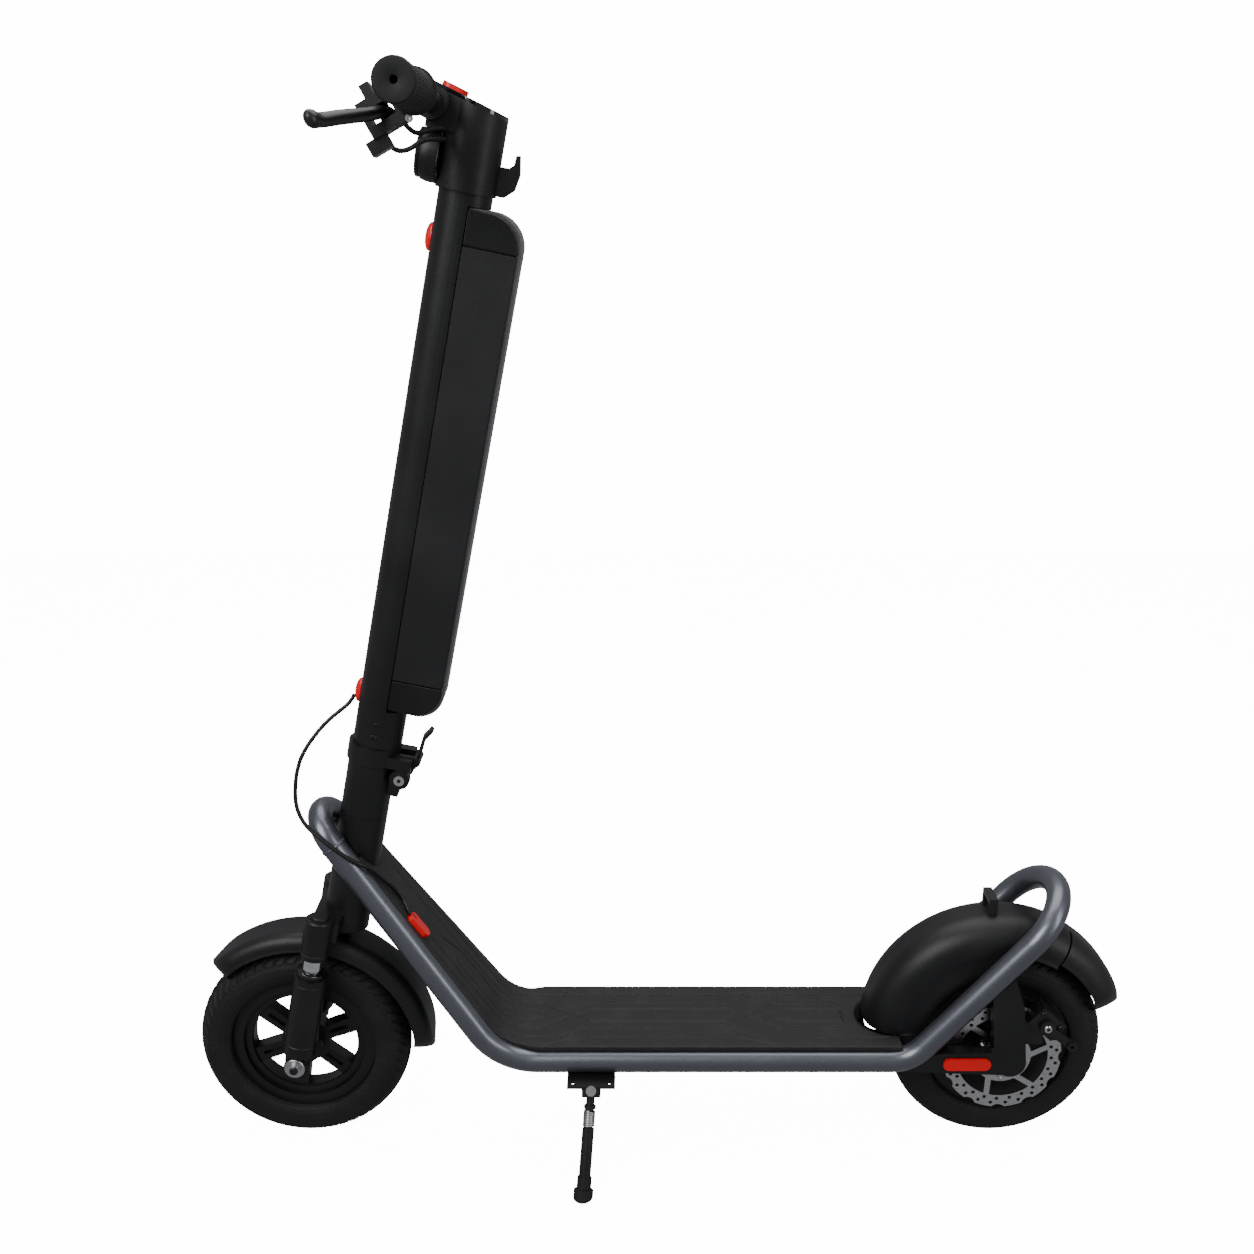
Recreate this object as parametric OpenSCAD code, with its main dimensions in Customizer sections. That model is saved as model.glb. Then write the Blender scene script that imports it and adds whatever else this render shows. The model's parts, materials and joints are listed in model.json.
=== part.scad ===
// Folding electric kick scooter. Millimetres. +X to the rear, -Y to the rider's left, +Z up.
// The origin is on the ground, below the middle of the length.
// Most modules work from the front axle, or along the steering axis, and are then moved there.

/* [Wheels] */
// Radius of both tyres
wheel_r = 127; // [125:0.5:129]
// Half the width of a tyre
tyre_hw = 27.8; // [26:0.2:29]
// Distance between the two axles
wheelbase = 836; // [826:2:846]
// Radius of the rim flange
rim_r = 86; // [84:0.5:88]
// Radius of the brake rotor
rotor_r = 70; // [66:1:72]

/* [Frame] */
// Outer radius of the perimeter tube
tube_r = 14; // [13:0.5:15]
// Wall of the perimeter tube
tube_wall = 2.5; // [2:0.5:4]
// Height of the tube's centre along the deck
tube_z = 134.2; // [132:0.2:138]
// Half the distance between the two side runs
tube_y = 60; // [58:0.5:62]
// Rise of the front run above the ground
front_rise = 54.75; // [54:0.25:56]
// Rise of the rear run above the ground
rear_rise = 49.3; // [48:0.1:50]
// Top of the deck mat above the ground
mat_z = 155.2; // [154:0.2:157]

/* [Steering] */
// Lean of the steering axis from upright
steer_tilt = 11.57; // [11:0.01:12]
// Outer radius of the head tube and the fold base
head_tube_r = 27; // [26:0.5:28]
// Offset of the fork legs in front of the steering axis
fork_offset = 24.8; // [24:0.1:26]
// Half the distance between the fork legs
leg_y = 51; // [50.5:0.5:53]
// Travel of the fork springs
fork_travel = 14; // [8:1:16]

/* [Handlebar] */
// Half the width over the grips
bar_half = 255; // [245:1:260]
// Outer radius of the bar
bar_r = 11.1; // [10.9:0.1:11.5]
// Outer radius of a grip
grip_r = 18.8; // [17.5:0.1:19.5]

/* [Battery] */
// Depth of the battery's rear edge behind the steering axis
battery_x = 69; // [62:1:72]
// Half the width of the battery
battery_hw = 24.5; // [22:0.5:26]

/* [Hidden] */
$fn = 64;

fit = 0.05;     // radial clearance of a running fit
gap = 0.3;      // clearance between pieces that only pass each other
black = [0.06, 0.06, 0.065];
rubber = [0.09, 0.09, 0.09];
silver = [0.42, 0.43, 0.47];
steel = [0.72, 0.72, 0.74];
red = [0.80, 0.07, 0.08];

// --- frame tube -------------------------------------------------------------------------------
front_vertex_x = 242.8;   // where the deck line and the front run would meet
rear_vertex_x = 722.7;    // where the deck line and the rear run would meet
front_bend_r = 80.7;
rear_bend_r = 50.4;
front_loop_r = 34;
front_run = 281.2;        // from the front bend to the centre of the front loop
rear_run = 178.2;         // from the rear bend to the centre of the rear loop
front_start_x = front_vertex_x + front_bend_r * tan(front_rise / 2);
rear_start_x = rear_vertex_x - rear_bend_r * tan(rear_rise / 2);
// yaw of the front run, which closes in on the head tube between two tangent bends
front_yaw = asin((tube_y - front_loop_r) / front_run);

// --- rear fender ------------------------------------------------------------------------------
fender_c = [830.2, 143];
fender_r = 157;
fender_hw = 42;
tail_end = 14.5;          // direction of the fender's tip
tail_seam = 58;           // direction of the seam between fender and tail

mid_x = (fender_c[0] + (fender_r - 1) * cos(tail_end) - wheel_r) / 2;
steer_x = -0.7;           // where the steering axis meets the ground

// --- heights along the steering axis ----------------------------------------------------------
axle_s = 124.6;
crown_s = [289, 320.6];
head_tube_s = [321, 437];
fold_s = 503;             // split between the fold base and the collar above it
collar_s = [503.4, 524];
seam_s = 1129;            // split between stem tube and head
top_front = [-42.8, 1225];
top_rear = [31.4, 1206.4];
top_slope = atan2(top_rear[1] - top_front[1], top_rear[0] - top_front[0]);
button_x = 18.8;          // along the top, back from its front edge
bay_x = 9;                // flat back of the stem, where the battery starts
bay_s = [570, 1117];
fold_pin_at = [35.7, 492.1];
latch_at = [50, 512];
bar_at = [-40.4, 1205.4];
reach_drop = 28.8;        // the lever's reach points forward and this much down
brake_pivot = [34, -128];
throttle_y = 117;

// --- kickstand --------------------------------------------------------------------------------
stand_at = [348, -80, 109];
stand_foot = [339, -130, 0];
stand_len = norm(stand_foot - stand_at);
stand_splay = atan2(stand_at[1] - stand_foot[1], stand_at[2] - stand_foot[2]);
stand_lean = asin((stand_at[0] - stand_foot[0]) / stand_len);
ear_y = [6.2, 9.2];       // the two ears either side of the leg's knuckle

// --- brake ------------------------------------------------------------------------------------
rotor_y = -42;
caliper_dir = 48;
arm_at = [wheelbase + 45, 176];

// --- mat ----------------------------------------------------------------------------------------
mat_d = 15;               // mat's top above the tube's centre on the front run
mat_t = 5;
mat_bend_r = 60;
mat_rise_t = (mat_z - tube_z - mat_d * cos(front_rise)) / sin(front_rise);
mat_vertex_x = front_vertex_x + mat_d * sin(front_rise) - mat_rise_t * cos(front_rise);
mat_start_x = mat_vertex_x + mat_bend_r * tan(front_rise / 2);
mat_end_x = 712;
mat_run = 248;

// === placing ====================================================================================
module from_axle() { translate([-mid_x, 0, 0]) children(); }
module along_steering(s = 0) { from_axle() translate([steer_x, 0, 0]) rotate([0, steer_tilt, 0]) translate([0, 0, s]) children(); }
module at_rear_axle() { from_axle() translate([wheelbase, 0, wheel_r]) children(); }
module fork_frame() { along_steering() translate([-fork_offset, 0, 0]) children(); }
module front_wheel_frame() { from_axle() translate([0, 0, wheel_r]) children(); }
// x along the front run, z away from it towards the rider
module front_incline(vertex_x, z, bend_r) {
    start = vertex_x + bend_r * tan(front_rise / 2);
    translate([start - bend_r * sin(front_rise), 0, z + bend_r * (1 - cos(front_rise))])
    mirror([1, 0, 0])
    rotate([0, -front_rise, 0])
    children();
}
module rear_incline() {
    translate([rear_start_x + rear_bend_r * sin(rear_rise), 0, tube_z + rear_bend_r * (1 - cos(rear_rise))])
    rotate([0, -rear_rise, 0])
    children();
}
// turns what follows about an axis along Y, from one direction to another
module swept(from, angle) { rotate([90, 0, 0]) rotate([0, 0, from]) rotate_extrude(angle = angle) children(); }
module across(r, y0, y1) { translate([0, y0, 0]) rotate([-90, 0, 0]) cylinder(r = r, h = y1 - y0); }
module both_sides() {
    children();
    mirror([0, 1, 0]) children();
}
module bar_frame() { along_steering() translate([bar_at[0], 0, bar_at[1]]) rotate([0, 180 - reach_drop - steer_tilt, 0]) children(); }
module top_frame() { along_steering() translate([top_front[0], 0, top_front[1]]) rotate([0, -top_slope, 0]) children(); }
module stand_frame() {
    from_axle()
    translate(stand_at)
    rotate([-stand_splay, 0, 0])
    rotate([0, stand_lean, 0])
    mirror([0, 0, 1])
    children();
}

// === frame ======================================================================================
// the runs and bends of one side of the perimeter tube, on the rider's left; the children are its section
joint = 0.02;   // hairline, in degrees, left where a bend is welded to the next run
module deck_run() {
    translate([front_start_x, -tube_y, tube_z])
        rotate([0, 90, 0])
        linear_extrude(height = rear_start_x - front_start_x)
        children();
}
module front_bend() {
    translate([front_start_x, -tube_y, tube_z + front_bend_r])
        swept(-90 - front_rise + joint, front_rise - 2 * joint)
        translate([front_bend_r, 0])
        children();
}
module rear_bend() {
    translate([rear_start_x, -tube_y, tube_z + rear_bend_r])
        swept(-90 + joint, rear_rise - 2 * joint)
        translate([rear_bend_r, 0])
        children();
}
module closing_bend() {
    front_incline(front_vertex_x, tube_z, front_bend_r)
        rotate([0, 0, -90 + joint])
        rotate_extrude(angle = front_yaw - 2 * joint)
        translate([tube_y, 0])
        children();
}
module front_straight() {
    front_incline(front_vertex_x, tube_z, front_bend_r)
        rotate([0, 0, front_yaw])
        translate([0, -tube_y, 0])
        rotate([0, 90, 0])
        linear_extrude(height = front_run * cos(front_yaw))
        children();
}
module front_loop() {
    front_incline(front_vertex_x, tube_z, front_bend_r)
        translate([front_run, 0, 0])
        rotate([0, 0, front_yaw - 90 + joint])
        rotate_extrude(angle = 90 - front_yaw - joint)
        translate([front_loop_r, 0])
        children();
}
module rear_straight() {
    rear_incline() translate([0, -tube_y, 0]) rotate([0, 90, 0]) linear_extrude(height = rear_run) children();
}
module rear_loop() {
    rear_incline() translate([rear_run, 0, 0]) rotate([0, 0, -90]) rotate_extrude(angle = 90) translate([tube_y, 0]) children();
}
module tube_bar(r) {
    deck_run() circle(r);
    front_bend() circle(r);
    rear_bend() circle(r);
    closing_bend() circle(r);
    front_straight() circle(r);
    front_loop() circle(r);
    rear_straight() circle(r);
    rear_loop() circle(r);
}
module pipe() {
    difference() {
        circle(tube_r);
        circle(tube_r - tube_wall);
    }
}
module head_tube_space(extra = 0) {
    translate([steer_x, 0, 0])
    rotate([0, steer_tilt, 0])
    translate([0, 0, head_tube_s[0] - 1])
    cylinder(r = head_tube_r + extra, h = head_tube_s[1] - head_tube_s[0] + 2);
}
module tube_side() {
    from_axle() {
        deck_run() pipe();
        front_bend() pipe();
        rear_bend() pipe();
        closing_bend() pipe();
        rear_straight() pipe();
        rear_loop() pipe();
        difference() {
            front_straight() pipe();
            head_tube_space();
        }
        difference() {
            front_loop() pipe();
            head_tube_space();
        }
    }
}
module frame_tube_left() { color(silver) tube_side(); }
module frame_tube_right() { color(silver) mirror([0, 1, 0]) tube_side(); }

bearing_r = 21;
steerer_r = 14.3;
module head_tube() {
    color(black)
    along_steering(head_tube_s[0])
    difference() {
        cylinder(r = head_tube_r, h = head_tube_s[1] - head_tube_s[0]);
        translate([0, 0, -1]) cylinder(r = bearing_r, h = head_tube_s[1] - head_tube_s[0] + 2);
    }
}
module headset_bearings() {
    bearing_h = 12;
    color(steel)
    for (s = [head_tube_s[0], head_tube_s[1] - bearing_h])
        along_steering(s)
        difference() {
            cylinder(r = bearing_r - 0.02, h = bearing_h);
            translate([0, 0, -1]) cylinder(r = steerer_r + fit, h = bearing_h + 2);
        }
}

// a plate that follows the deck line and then the front run: top_gap below the mat's top, thick,
// half-width flat_hw on the deck, closing from flat_hw to end_hw along a front run of length run
module bent_plate(top_gap, thick, x_end, flat_hw, start_hw, end_hw, run) {
    translate([mat_start_x, -flat_hw, mat_z - top_gap - thick])
        cube([x_end - mat_start_x, 2 * flat_hw, thick]);
    translate([mat_start_x, 0, mat_z + mat_bend_r])
        swept(-90 - front_rise, front_rise)
        translate([mat_bend_r + top_gap, -start_hw])
        square([thick, 2 * start_hw]);
    front_incline(mat_vertex_x, mat_z, mat_bend_r)
        translate([0, 0, -top_gap - thick])
        linear_extrude(height = thick)
        polygon([[0.03, -start_hw], [run, -end_hw], [run, end_hw], [0.03, start_hw]]);
}
module side_tubes(r) {
    tube_bar(r);
    mirror([0, 1, 0]) tube_bar(r);
}
wheel_notch_x = 655;      // the tray's body ends here, ahead of the tyre
lip_x = 677;              // its top skin runs on to the fender
cavity_x = [296, 640];
module deck_tray() {
    tray_hw = tube_y - tube_r - 0.2;
    color(black)
    from_axle()
    difference() {
        union() {
            bent_plate(mat_t, 24, wheel_notch_x, tray_hw, tray_hw, 25.2, mat_run - 26);
            translate([front_start_x + 2, -tube_y - 3, mat_z - mat_t - 1.7])
                cube([rear_start_x - front_start_x - 3, 2 * tube_y + 6, 1.7]);
        }
        head_tube_space(0.02);
        translate([cavity_x[0], -40, mat_z - mat_t - 25]) cube([cavity_x[1] - cavity_x[0], 80, 22]);
        translate([lip_x, -fender_hw - 2, mat_z - 40]) cube([200, 2 * fender_hw + 4, 60]);
    }
}
module deck_base() {
    base_t = 4.4;
    color(black)
    from_axle()
    difference() {
        translate([front_start_x, -tube_y + tube_r, mat_z - mat_t - 24 - base_t - 0.1])
            cube([wheel_notch_x - front_start_x - 4, 2 * (tube_y - tube_r), base_t]);
        side_tubes(tube_r + 0.15);
    }
}
module controller() {
    color(steel)
    from_axle()
    translate([cavity_x[0] + 20, -32, mat_z - mat_t - 23.5])
    difference() {
        cube([130, 64, 18]);
        for (i = [1 : 6]) translate([-1, i * 9, 13]) cube([132, 3, 6]);
    }
}
module deck_mat() {
    mat_hw = tube_y + 5;
    end_hw = 38;
    notch_hw = fender_hw + 1;
    notch_x = 709;
    over_tube = 0.75;    // on the front run only a thin skin of the mat lies over the tubes
    color(rubber)
    from_axle()
    difference() {
        union() {
            bent_plate(0, over_tube, mat_end_x, mat_hw, tube_y, end_hw, mat_run);
            bent_plate(over_tube, mat_t - over_tube, mat_end_x, mat_hw, tube_y - 11, end_hw - 8, mat_run - 32);
        }
        head_tube_space(0.3);
        translate([notch_x, 0, mat_z - 10]) cylinder(r = notch_hw, h = 20);
        translate([notch_x, -notch_hw, mat_z - 10]) cube([200, 2 * notch_hw, 20]);
    }
}
grommet_at = [132, -35];
module cable_grommet() {
    long = 20;
    color(red)
    from_axle()
    front_incline(mat_vertex_x, mat_z, mat_bend_r)
    translate([grommet_at[0], grommet_at[1], 0])
    difference() {
        union() {
            for (x = [0, long]) translate([x, 0, 0]) cylinder(r = 7, h = 6);
            translate([0, -7, 0]) cube([long, 14, 6]);
        }
        translate([long - 2, 0, 3.2]) rotate([0, 90, 0]) cylinder(r = 2.9, h = 12);
    }
}

// an L-shaped plate on each side carries the rear axle below the perimeter tube
dropout_y = [52, 67];
module dropout_outline() {
    polygon([[704, 123], [838, 118], [838, 149], [757, 147], [728, 139]]);
    polygon([[820, 133], [857, 133], [849, 210], [836, 246], [812, 219]]);
    translate([839, 134]) circle(r = 18);
    translate([815, 143]) square([14, 12]);
}
module dropouts() {
    color(black)
    both_sides()
    from_axle()
    difference() {
        translate([0, -dropout_y[0], 0]) rotate([90, 0, 0]) linear_extrude(height = dropout_y[1] - dropout_y[0]) dropout_outline();
        tube_bar(tube_r + 0.1);
        translate([wheelbase, 0, wheel_r]) across(6, -62.2, -40);
    }
}
module tail_reflectors() {
    color(red)
    both_sides()
    from_axle()
    translate([0, -dropout_y[1], 133.5]) {
        difference() {
            union() {
                translate([767, 0, 0]) across(7.5, -3, -0.02);
                translate([808, 0, 0]) across(7.5, -3, -0.02);
                translate([767, -3, -7.5]) cube([41, 2.98, 15]);
            }
        }
    }
}

// section of a fender: crown with round shoulders and side skirts down to skirt_r
module fender_section(r, hw, shoulder, skirt_r) {
    translate([skirt_r, -hw]) square([r - shoulder - skirt_r, 2 * hw]);
    translate([skirt_r, -hw + shoulder]) square([r - skirt_r, 2 * (hw - shoulder)]);
    for (side = [-1, 1]) translate([r - shoulder, side * (hw - shoulder)]) circle(r = shoulder);
}
module fender_wall(r, hw, shoulder, skirt_r, wall) {
    difference() {
        fender_section(r, hw, shoulder, skirt_r);
        fender_section(r - wall, hw - wall, shoulder - wall, skirt_r - 1);
        translate([0, -100]) square([skirt_r, 200]);
    }
}
module rear_fender() {
    wall = 3;
    stay_at = [840, 271];
    color(black)
    from_axle() {
        translate([fender_c[0], 0, fender_c[1]])
            swept(tail_seam, 175.2 - tail_seam)
            fender_wall(fender_r, fender_hw, 32, fender_r - 40, wall);
        // deeper cheeks beside the front half of the tyre
        translate([fender_c[0], 0, fender_c[1]])
            swept(95, 80)
            for (y = [-fender_hw, fender_hw - wall])
                translate([92, y])
                square([fender_r - 39 - 92, wall]);
        both_sides()
            difference() {
                translate([stay_at[0], 0, stay_at[1]]) across(6, -tube_y + tube_r - 2, -fender_hw);
                tube_bar(tube_r + 0.05);
            }
    }
}
module fender_tail() {
    color(black)
    from_axle()
    translate([fender_c[0], 0, fender_c[1]])
    swept(tail_end, tail_seam - tail_end - 0.05)
    fender_wall(fender_r - 1, fender_hw - 3, 30, fender_r - 34, 3);
}
loop_at = [818, 293];
module catch_loop() {
    color(black)
    from_axle()
    difference() {
        translate([loop_at[0] - 5, -16, loop_at[1]]) cube([10, 32, 27]);
        translate([loop_at[0] - 6, -10.5, loop_at[1]]) cube([12, 21, 21]);
        translate([fender_c[0], 0, fender_c[1]]) across(fender_r + 0.02, -30, 30);
    }
}

// the ears stand square to the tilted bolt, so the leg swings between them
module kickstand_plate() {
    plate_z = tube_z - tube_r - 3;
    color(black)
    from_axle()
    difference() {
        union() {
            translate([stand_at[0] - 28, -92, plate_z]) cube([56, 42, 3]);
            translate(stand_at)
                rotate([-stand_splay, 0, 0])
                both_sides()
                translate([-11, ear_y[0], -8])
                cube([22, ear_y[1] - ear_y[0], 17]);
        }
        tube_bar(tube_r + 0.15);
        translate(stand_at) rotate([-stand_splay, 0, 0]) across(3.05, -12, 12);
        translate(stand_at) rotate([-stand_splay, 0, 0]) across(6.4, -16, -ear_y[1] - 0.05);
        translate([0, 0, tube_z - tube_r + 0.5]) translate([stand_at[0] - 40, -100, 0]) cube([80, 40, 20]);
        for (x = [-21, 21]) translate([stand_at[0] + x, -84, plate_z - 1]) cylinder(r = 2.5, h = 8);
    }
}
module kickstand_bolt() {
    color(steel)
    from_axle()
    translate(stand_at)
    rotate([-stand_splay, 0, 0]) {
        across(3, -ear_y[1], ear_y[1]);
        across(6, -ear_y[1] - 4, -ear_y[1]);
        across(5, ear_y[1], ear_y[1] + 4);
    }
}
module kickstand_leg() {
    foot_h = 22;
    color(black)
    stand_frame()
    difference() {
        union() {
            across(6.1, -ear_y[0] + 0.35, ear_y[0] - 0.35);
            cylinder(r = 5, h = stand_len - 10);
            translate([0, 0, 44]) cylinder(r = 7, h = stand_len - foot_h - 44);
            translate([0, 0, 18]) cylinder(r = 7, h = 4);
        }
        across(3 + fit, -12, 12);
        translate([0, 0, stand_len - foot_h + 8]) cylinder(r = 8, h = 40);
    }
}
module kickstand_spring() {
    turns = 9;
    color(steel)
    stand_frame()
    for (i = [0 : turns - 1])
        translate([0, 0, 24 + i * 2.1])
        rotate_extrude()
        translate([6.1, 0])
        circle(r = 0.95);
}
module kickstand_foot() {
    foot_h = 22;
    color(rubber)
    difference() {
        stand_frame()
            difference() {
                union() {
                    translate([0, 0, stand_len - foot_h]) cylinder(r = 8.5, h = foot_h - 4);
                    translate([0, 0, stand_len - 8]) cylinder(r = 11.5, h = 14);
                }
                translate([0, 0, stand_len - foot_h - 1]) cylinder(r = 7, h = 1);
                translate([0, 0, stand_len - foot_h - 1]) cylinder(r = 5.1, h = 12.2);
            }
        translate([-500, -500, -60]) cube([1000, 1000, 60]);
    }
}

// === rear wheel and brake =======================================================================
axle_r = 6;
bearing_w = 7;
motor_hw = 25;
module rear_axle() {
    color(steel)
    at_rear_axle() {
        across(axle_r, -62, 62);
        both_sides()
            difference() {
                across(9, -dropout_y[0], -dropout_y[0] + 3);
                across(axle_r, -90, -40);
            }
    }
}
module motor_stator() {
    teeth = 18;
    color(steel)
    at_rear_axle()
    difference() {
        across(56, -13, 13);
        across(axle_r, -20, 20);
        for (i = [0 : teeth - 1]) rotate([0, i * 360 / teeth, 0]) translate([40, -14, -2]) cube([20, 28, 4]);
    }
}
module motor_shell() {
    color(black)
    at_rear_axle()
    difference() {
        union() {
            across(rim_r - 4, -16.6, 16.6);
            both_sides() across(rim_r, -16.6, -13.6);
            across(72, -motor_hw, motor_hw);
            across(33, rotor_y + 1, -20);
        }
        across(60, -17, 17);
        both_sides() across(15, -19 - bearing_w, -16);
        across(axle_r + 1.5, -60, 60);
    }
    color(steel)
    at_rear_axle()
    both_sides()
    difference() {
        across(14.98, -17 - bearing_w, -17.02);
        across(axle_r + fit, -60, 60);
    }
}
module tyre_section() {
    tread_hw = 9;
    crown_r = wheel_r - tyre_hw;
    difference() {
        union() {
            translate([crown_r, 0]) circle(r = tyre_hw);
            translate([crown_r, -tread_hw]) square([tyre_hw - 0.001, 2 * tread_hw]);
        }
        translate([0, -50]) square([rim_r + 0.02, 100]);
        translate([crown_r, 0]) circle(r = tyre_hw - 5);
    }
}
module tyre() {
    rotate([90, 0, 0]) rotate_extrude() tyre_section();
    difference() {
        across(rim_r + 0.02, -13.58, 13.58);
        across(rim_r - 3.98, -20, 20);
    }
}
module rear_tyre() { color(rubber) at_rear_axle() tyre(); }
module brake_rotor() {
    arms = 6;
    lobes = 12;
    half = 0.95;
    bolt_at = 27;
    color(steel)
    at_rear_axle()
    translate([0, rotor_y, 0]) {
        difference() {
            union() {
                difference() {
                    across(rotor_r, -half, half);
                    across(54, -2, 2);
                }
                difference() {
                    across(34, -half, half);
                    across(19, -2, 2);
                }
                for (i = [0 : arms - 1])
                    rotate([0, i * 360 / arms, 0])
                    rotate([90, 0, 0])
                    linear_extrude(height = 2 * half, center = true)
                    polygon([[30, -3], [58, 12], [57, 19], [30, 5]]);
            }
            for (i = [0 : lobes - 1])
                rotate([0, i * 360 / lobes, 0]) {
                    translate([rotor_r + 7, 0, 0]) across(10.5, -2, 2);
                    rotate([0, 8, 0]) translate([64.5, 0, 0]) across(2.2, -2, 2);
                    rotate([0, 22, 0]) translate([64.5, 0, 0]) across(2.2, -2, 2);
                    rotate([0, 2, 0]) translate([58.5, 0, 0]) across(2.2, -2, 2);
                    rotate([0, 17, 0]) translate([58.5, 0, 0]) across(2.2, -2, 2);
                }
            for (i = [0 : arms - 1]) rotate([0, i * 360 / arms + 30, 0]) translate([bolt_at, 0, 0]) across(2.6, -2, 2);
        }
        for (i = [0 : arms - 1])
            rotate([0, i * 360 / arms + 30, 0])
            translate([bolt_at, 0, 0])
            across(2.58, -2.6, half);
    }
}
module caliper_frame() { at_rear_axle() rotate([0, -caliper_dir, 0]) translate([66, rotor_y, 0]) children(); }
module caliper() {
    color(black)
    difference() {
        union() {
            caliper_frame() difference() {
                translate([-10, -13, -19]) cube([26, 24, 38]);
                translate([-11, -4, -12]) cube([21, 8, 24]);
                translate([-11, -1.6, -20]) cube([21, 3.2, 40]);
            }
            from_axle() translate([845, -51.8, 150]) cube([34, 6.4, 30]);
            from_axle() translate([arm_at[0], 0, arm_at[1]]) across(3, -62, -54.9);
        }
        caliper_frame() translate([-30, -1.6, -40]) cube([40, 3.2, 80]);
        caliper_frame() translate([-11, -4, -12]) cube([21, 8, 24]);
    }
}
module brake_pads() {
    color(steel)
    caliper_frame()
    for (y = [-3.8, 1.5])
        translate([-8, y, -10]) cube([16, 2.3, 20]);
}
module caliper_arm() {
    color(black)
    from_axle()
    translate([arm_at[0], -56.2, arm_at[1]])
    rotate([0, 38, 0]) {
        difference() {
            union() {
                across(9, -4, 0);
                translate([0, -4, -5]) cube([38, 4, 10]);
                translate([38, 0, 0]) across(6, -6, 0);
            }
            translate([38, 0, 0]) across(2, -8, 2);
            across(3 + fit, -8, 2);
        }
    }
}

// === fork and front wheel =======================================================================
module steerer() {
    color(steel)
    along_steering(crown_s[0] + 2)
    difference() {
        cylinder(r = steerer_r, h = head_tube_s[1] + 24 - crown_s[0]);
        translate([0, 0, -1]) cylinder(r = steerer_r - 2.3, h = 200);
    }
}
leg_r = 19;
upper_r = 16;
stanchion_r = 11.25;
upper_s = [268, 315];
lower_top_s = 247;
module fork_crown() {
    color(black)
    difference() {
        union() {
            along_steering(crown_s[0]) cylinder(r = head_tube_r - 1, h = crown_s[1] - crown_s[0]);
            fork_frame()
                both_sides() {
                    translate([0, -leg_y, upper_s[0]]) cylinder(r = upper_r, h = upper_s[1] - upper_s[0]);
                    translate([0, -leg_y, upper_s[1]]) cylinder(r = 10, h = 3);
                }
            fork_frame() translate([-10, -leg_y, crown_s[0]]) cube([32, 2 * leg_y, 22]);
        }
        along_steering(crown_s[0] + 2) cylinder(r = steerer_r, h = 60);
        fork_frame() both_sides() translate([0, -leg_y, upper_s[0] - 1]) cylinder(r = stanchion_r, h = 38);
    }
}
module stanchions() {
    color(steel)
    fork_frame()
    both_sides()
    translate([0, -leg_y, 150])
    difference() {
        cylinder(r = stanchion_r, h = 154);
        translate([0, 0, -1]) cylinder(r = stanchion_r - 1.8, h = 150);
    }
}
module fork_springs() {
    color(steel)
    fork_frame()
    both_sides()
    translate([0, -leg_y, 132.3])
    difference() {
        cylinder(r = 8.6, h = 164);
        translate([0, 0, -1]) cylinder(r = 6.2, h = 166);
    }
}
module lower_legs() {
    color(black)
    fork_frame()
    both_sides()
    difference() {
        union() {
            translate([0, -leg_y, axle_s]) cylinder(r = 15, h = 26);
            translate([0, 0, axle_s]) across(13.5, -leg_y - 15, -leg_y + 14.9);
            translate([0, -leg_y, axle_s + 14]) cylinder(r = leg_r, h = lower_top_s - axle_s - 18);
            translate([0, -leg_y, lower_top_s - 10]) cylinder(r = upper_r, h = 10);
        }
        translate([0, -leg_y, 132]) cylinder(r = stanchion_r + fit, h = 200);
        translate([0, 0, axle_s]) across(axle_r + 0.1, -90, -20);
    }
}
module front_axle() {
    color(steel)
    front_wheel_frame() {
        across(axle_r, -72, 72);
        both_sides() {
            difference() {
                across(7.5, -leg_y - 15 - 5, -leg_y - 15.02);
                across(axle_r, -90, -50);
            }
            difference() {
                across(9, -leg_y + 15, -28);
                across(axle_r, -90, -20);
            }
        }
    }
}
front_fender_c = [4, 127];
front_fender_r = 152;
module front_fender() {
    hw = 31;
    color(black) {
        from_axle()
            difference() {
                translate([front_fender_c[0], 0, front_fender_c[1]])
                    swept(-4, 140)
                    fender_wall(front_fender_r, hw, 15, front_fender_r - 20, 2.5);
            }
        difference() {
            along_steering(crown_s[0] - 22) translate([-14, -10, 0]) cube([22, 20, 21.9]);
            from_axle() translate([front_fender_c[0], 0, front_fender_c[1]]) across(front_fender_r - 1, -30, 30);
        }
    }
}
spoke_pairs = 6;
module front_rim() {
    window_r = 64;
    spoke_dir = 20;
    color(black)
    front_wheel_frame()
    difference() {
        union() {
            difference() {
                union() {
                    across(rim_r - 4, -16.6, 16.6);
                    both_sides() across(rim_r, -16.6, -13.6);
                }
                both_sides() across(73, -20, -12);
                both_sides() across(window_r, -20, -9);
            }
            both_sides() across(23, -23, -8);
        }
        for (i = [0 : spoke_pairs - 1])
            rotate([0, -spoke_dir - 30 - i * 60, 0])
            rotate([90, 0, 0])
            linear_extrude(height = 40, center = true)
            intersection() {
                circle(r = window_r - 1);
                polygon([[29, -6.5], [70, -29], [70, 29], [29, 6.5]]);
            }
        for (i = [0 : spoke_pairs - 1])
            rotate([0, -spoke_dir - i * 60, 0]) translate([31, -10, -2.5]) cube([24, 20, 5]);
        both_sides() across(14, -24, -16);
        across(axle_r + 1.5, -40, 40);
    }
}
module front_bearings() {
    color(steel)
    front_wheel_frame()
    both_sides()
    difference() {
        across(13.98, -23, -16.02);
        across(axle_r + fit, -40, 40);
    }
}
module front_tyre() { color(rubber) front_wheel_frame() tyre(); }

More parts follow.
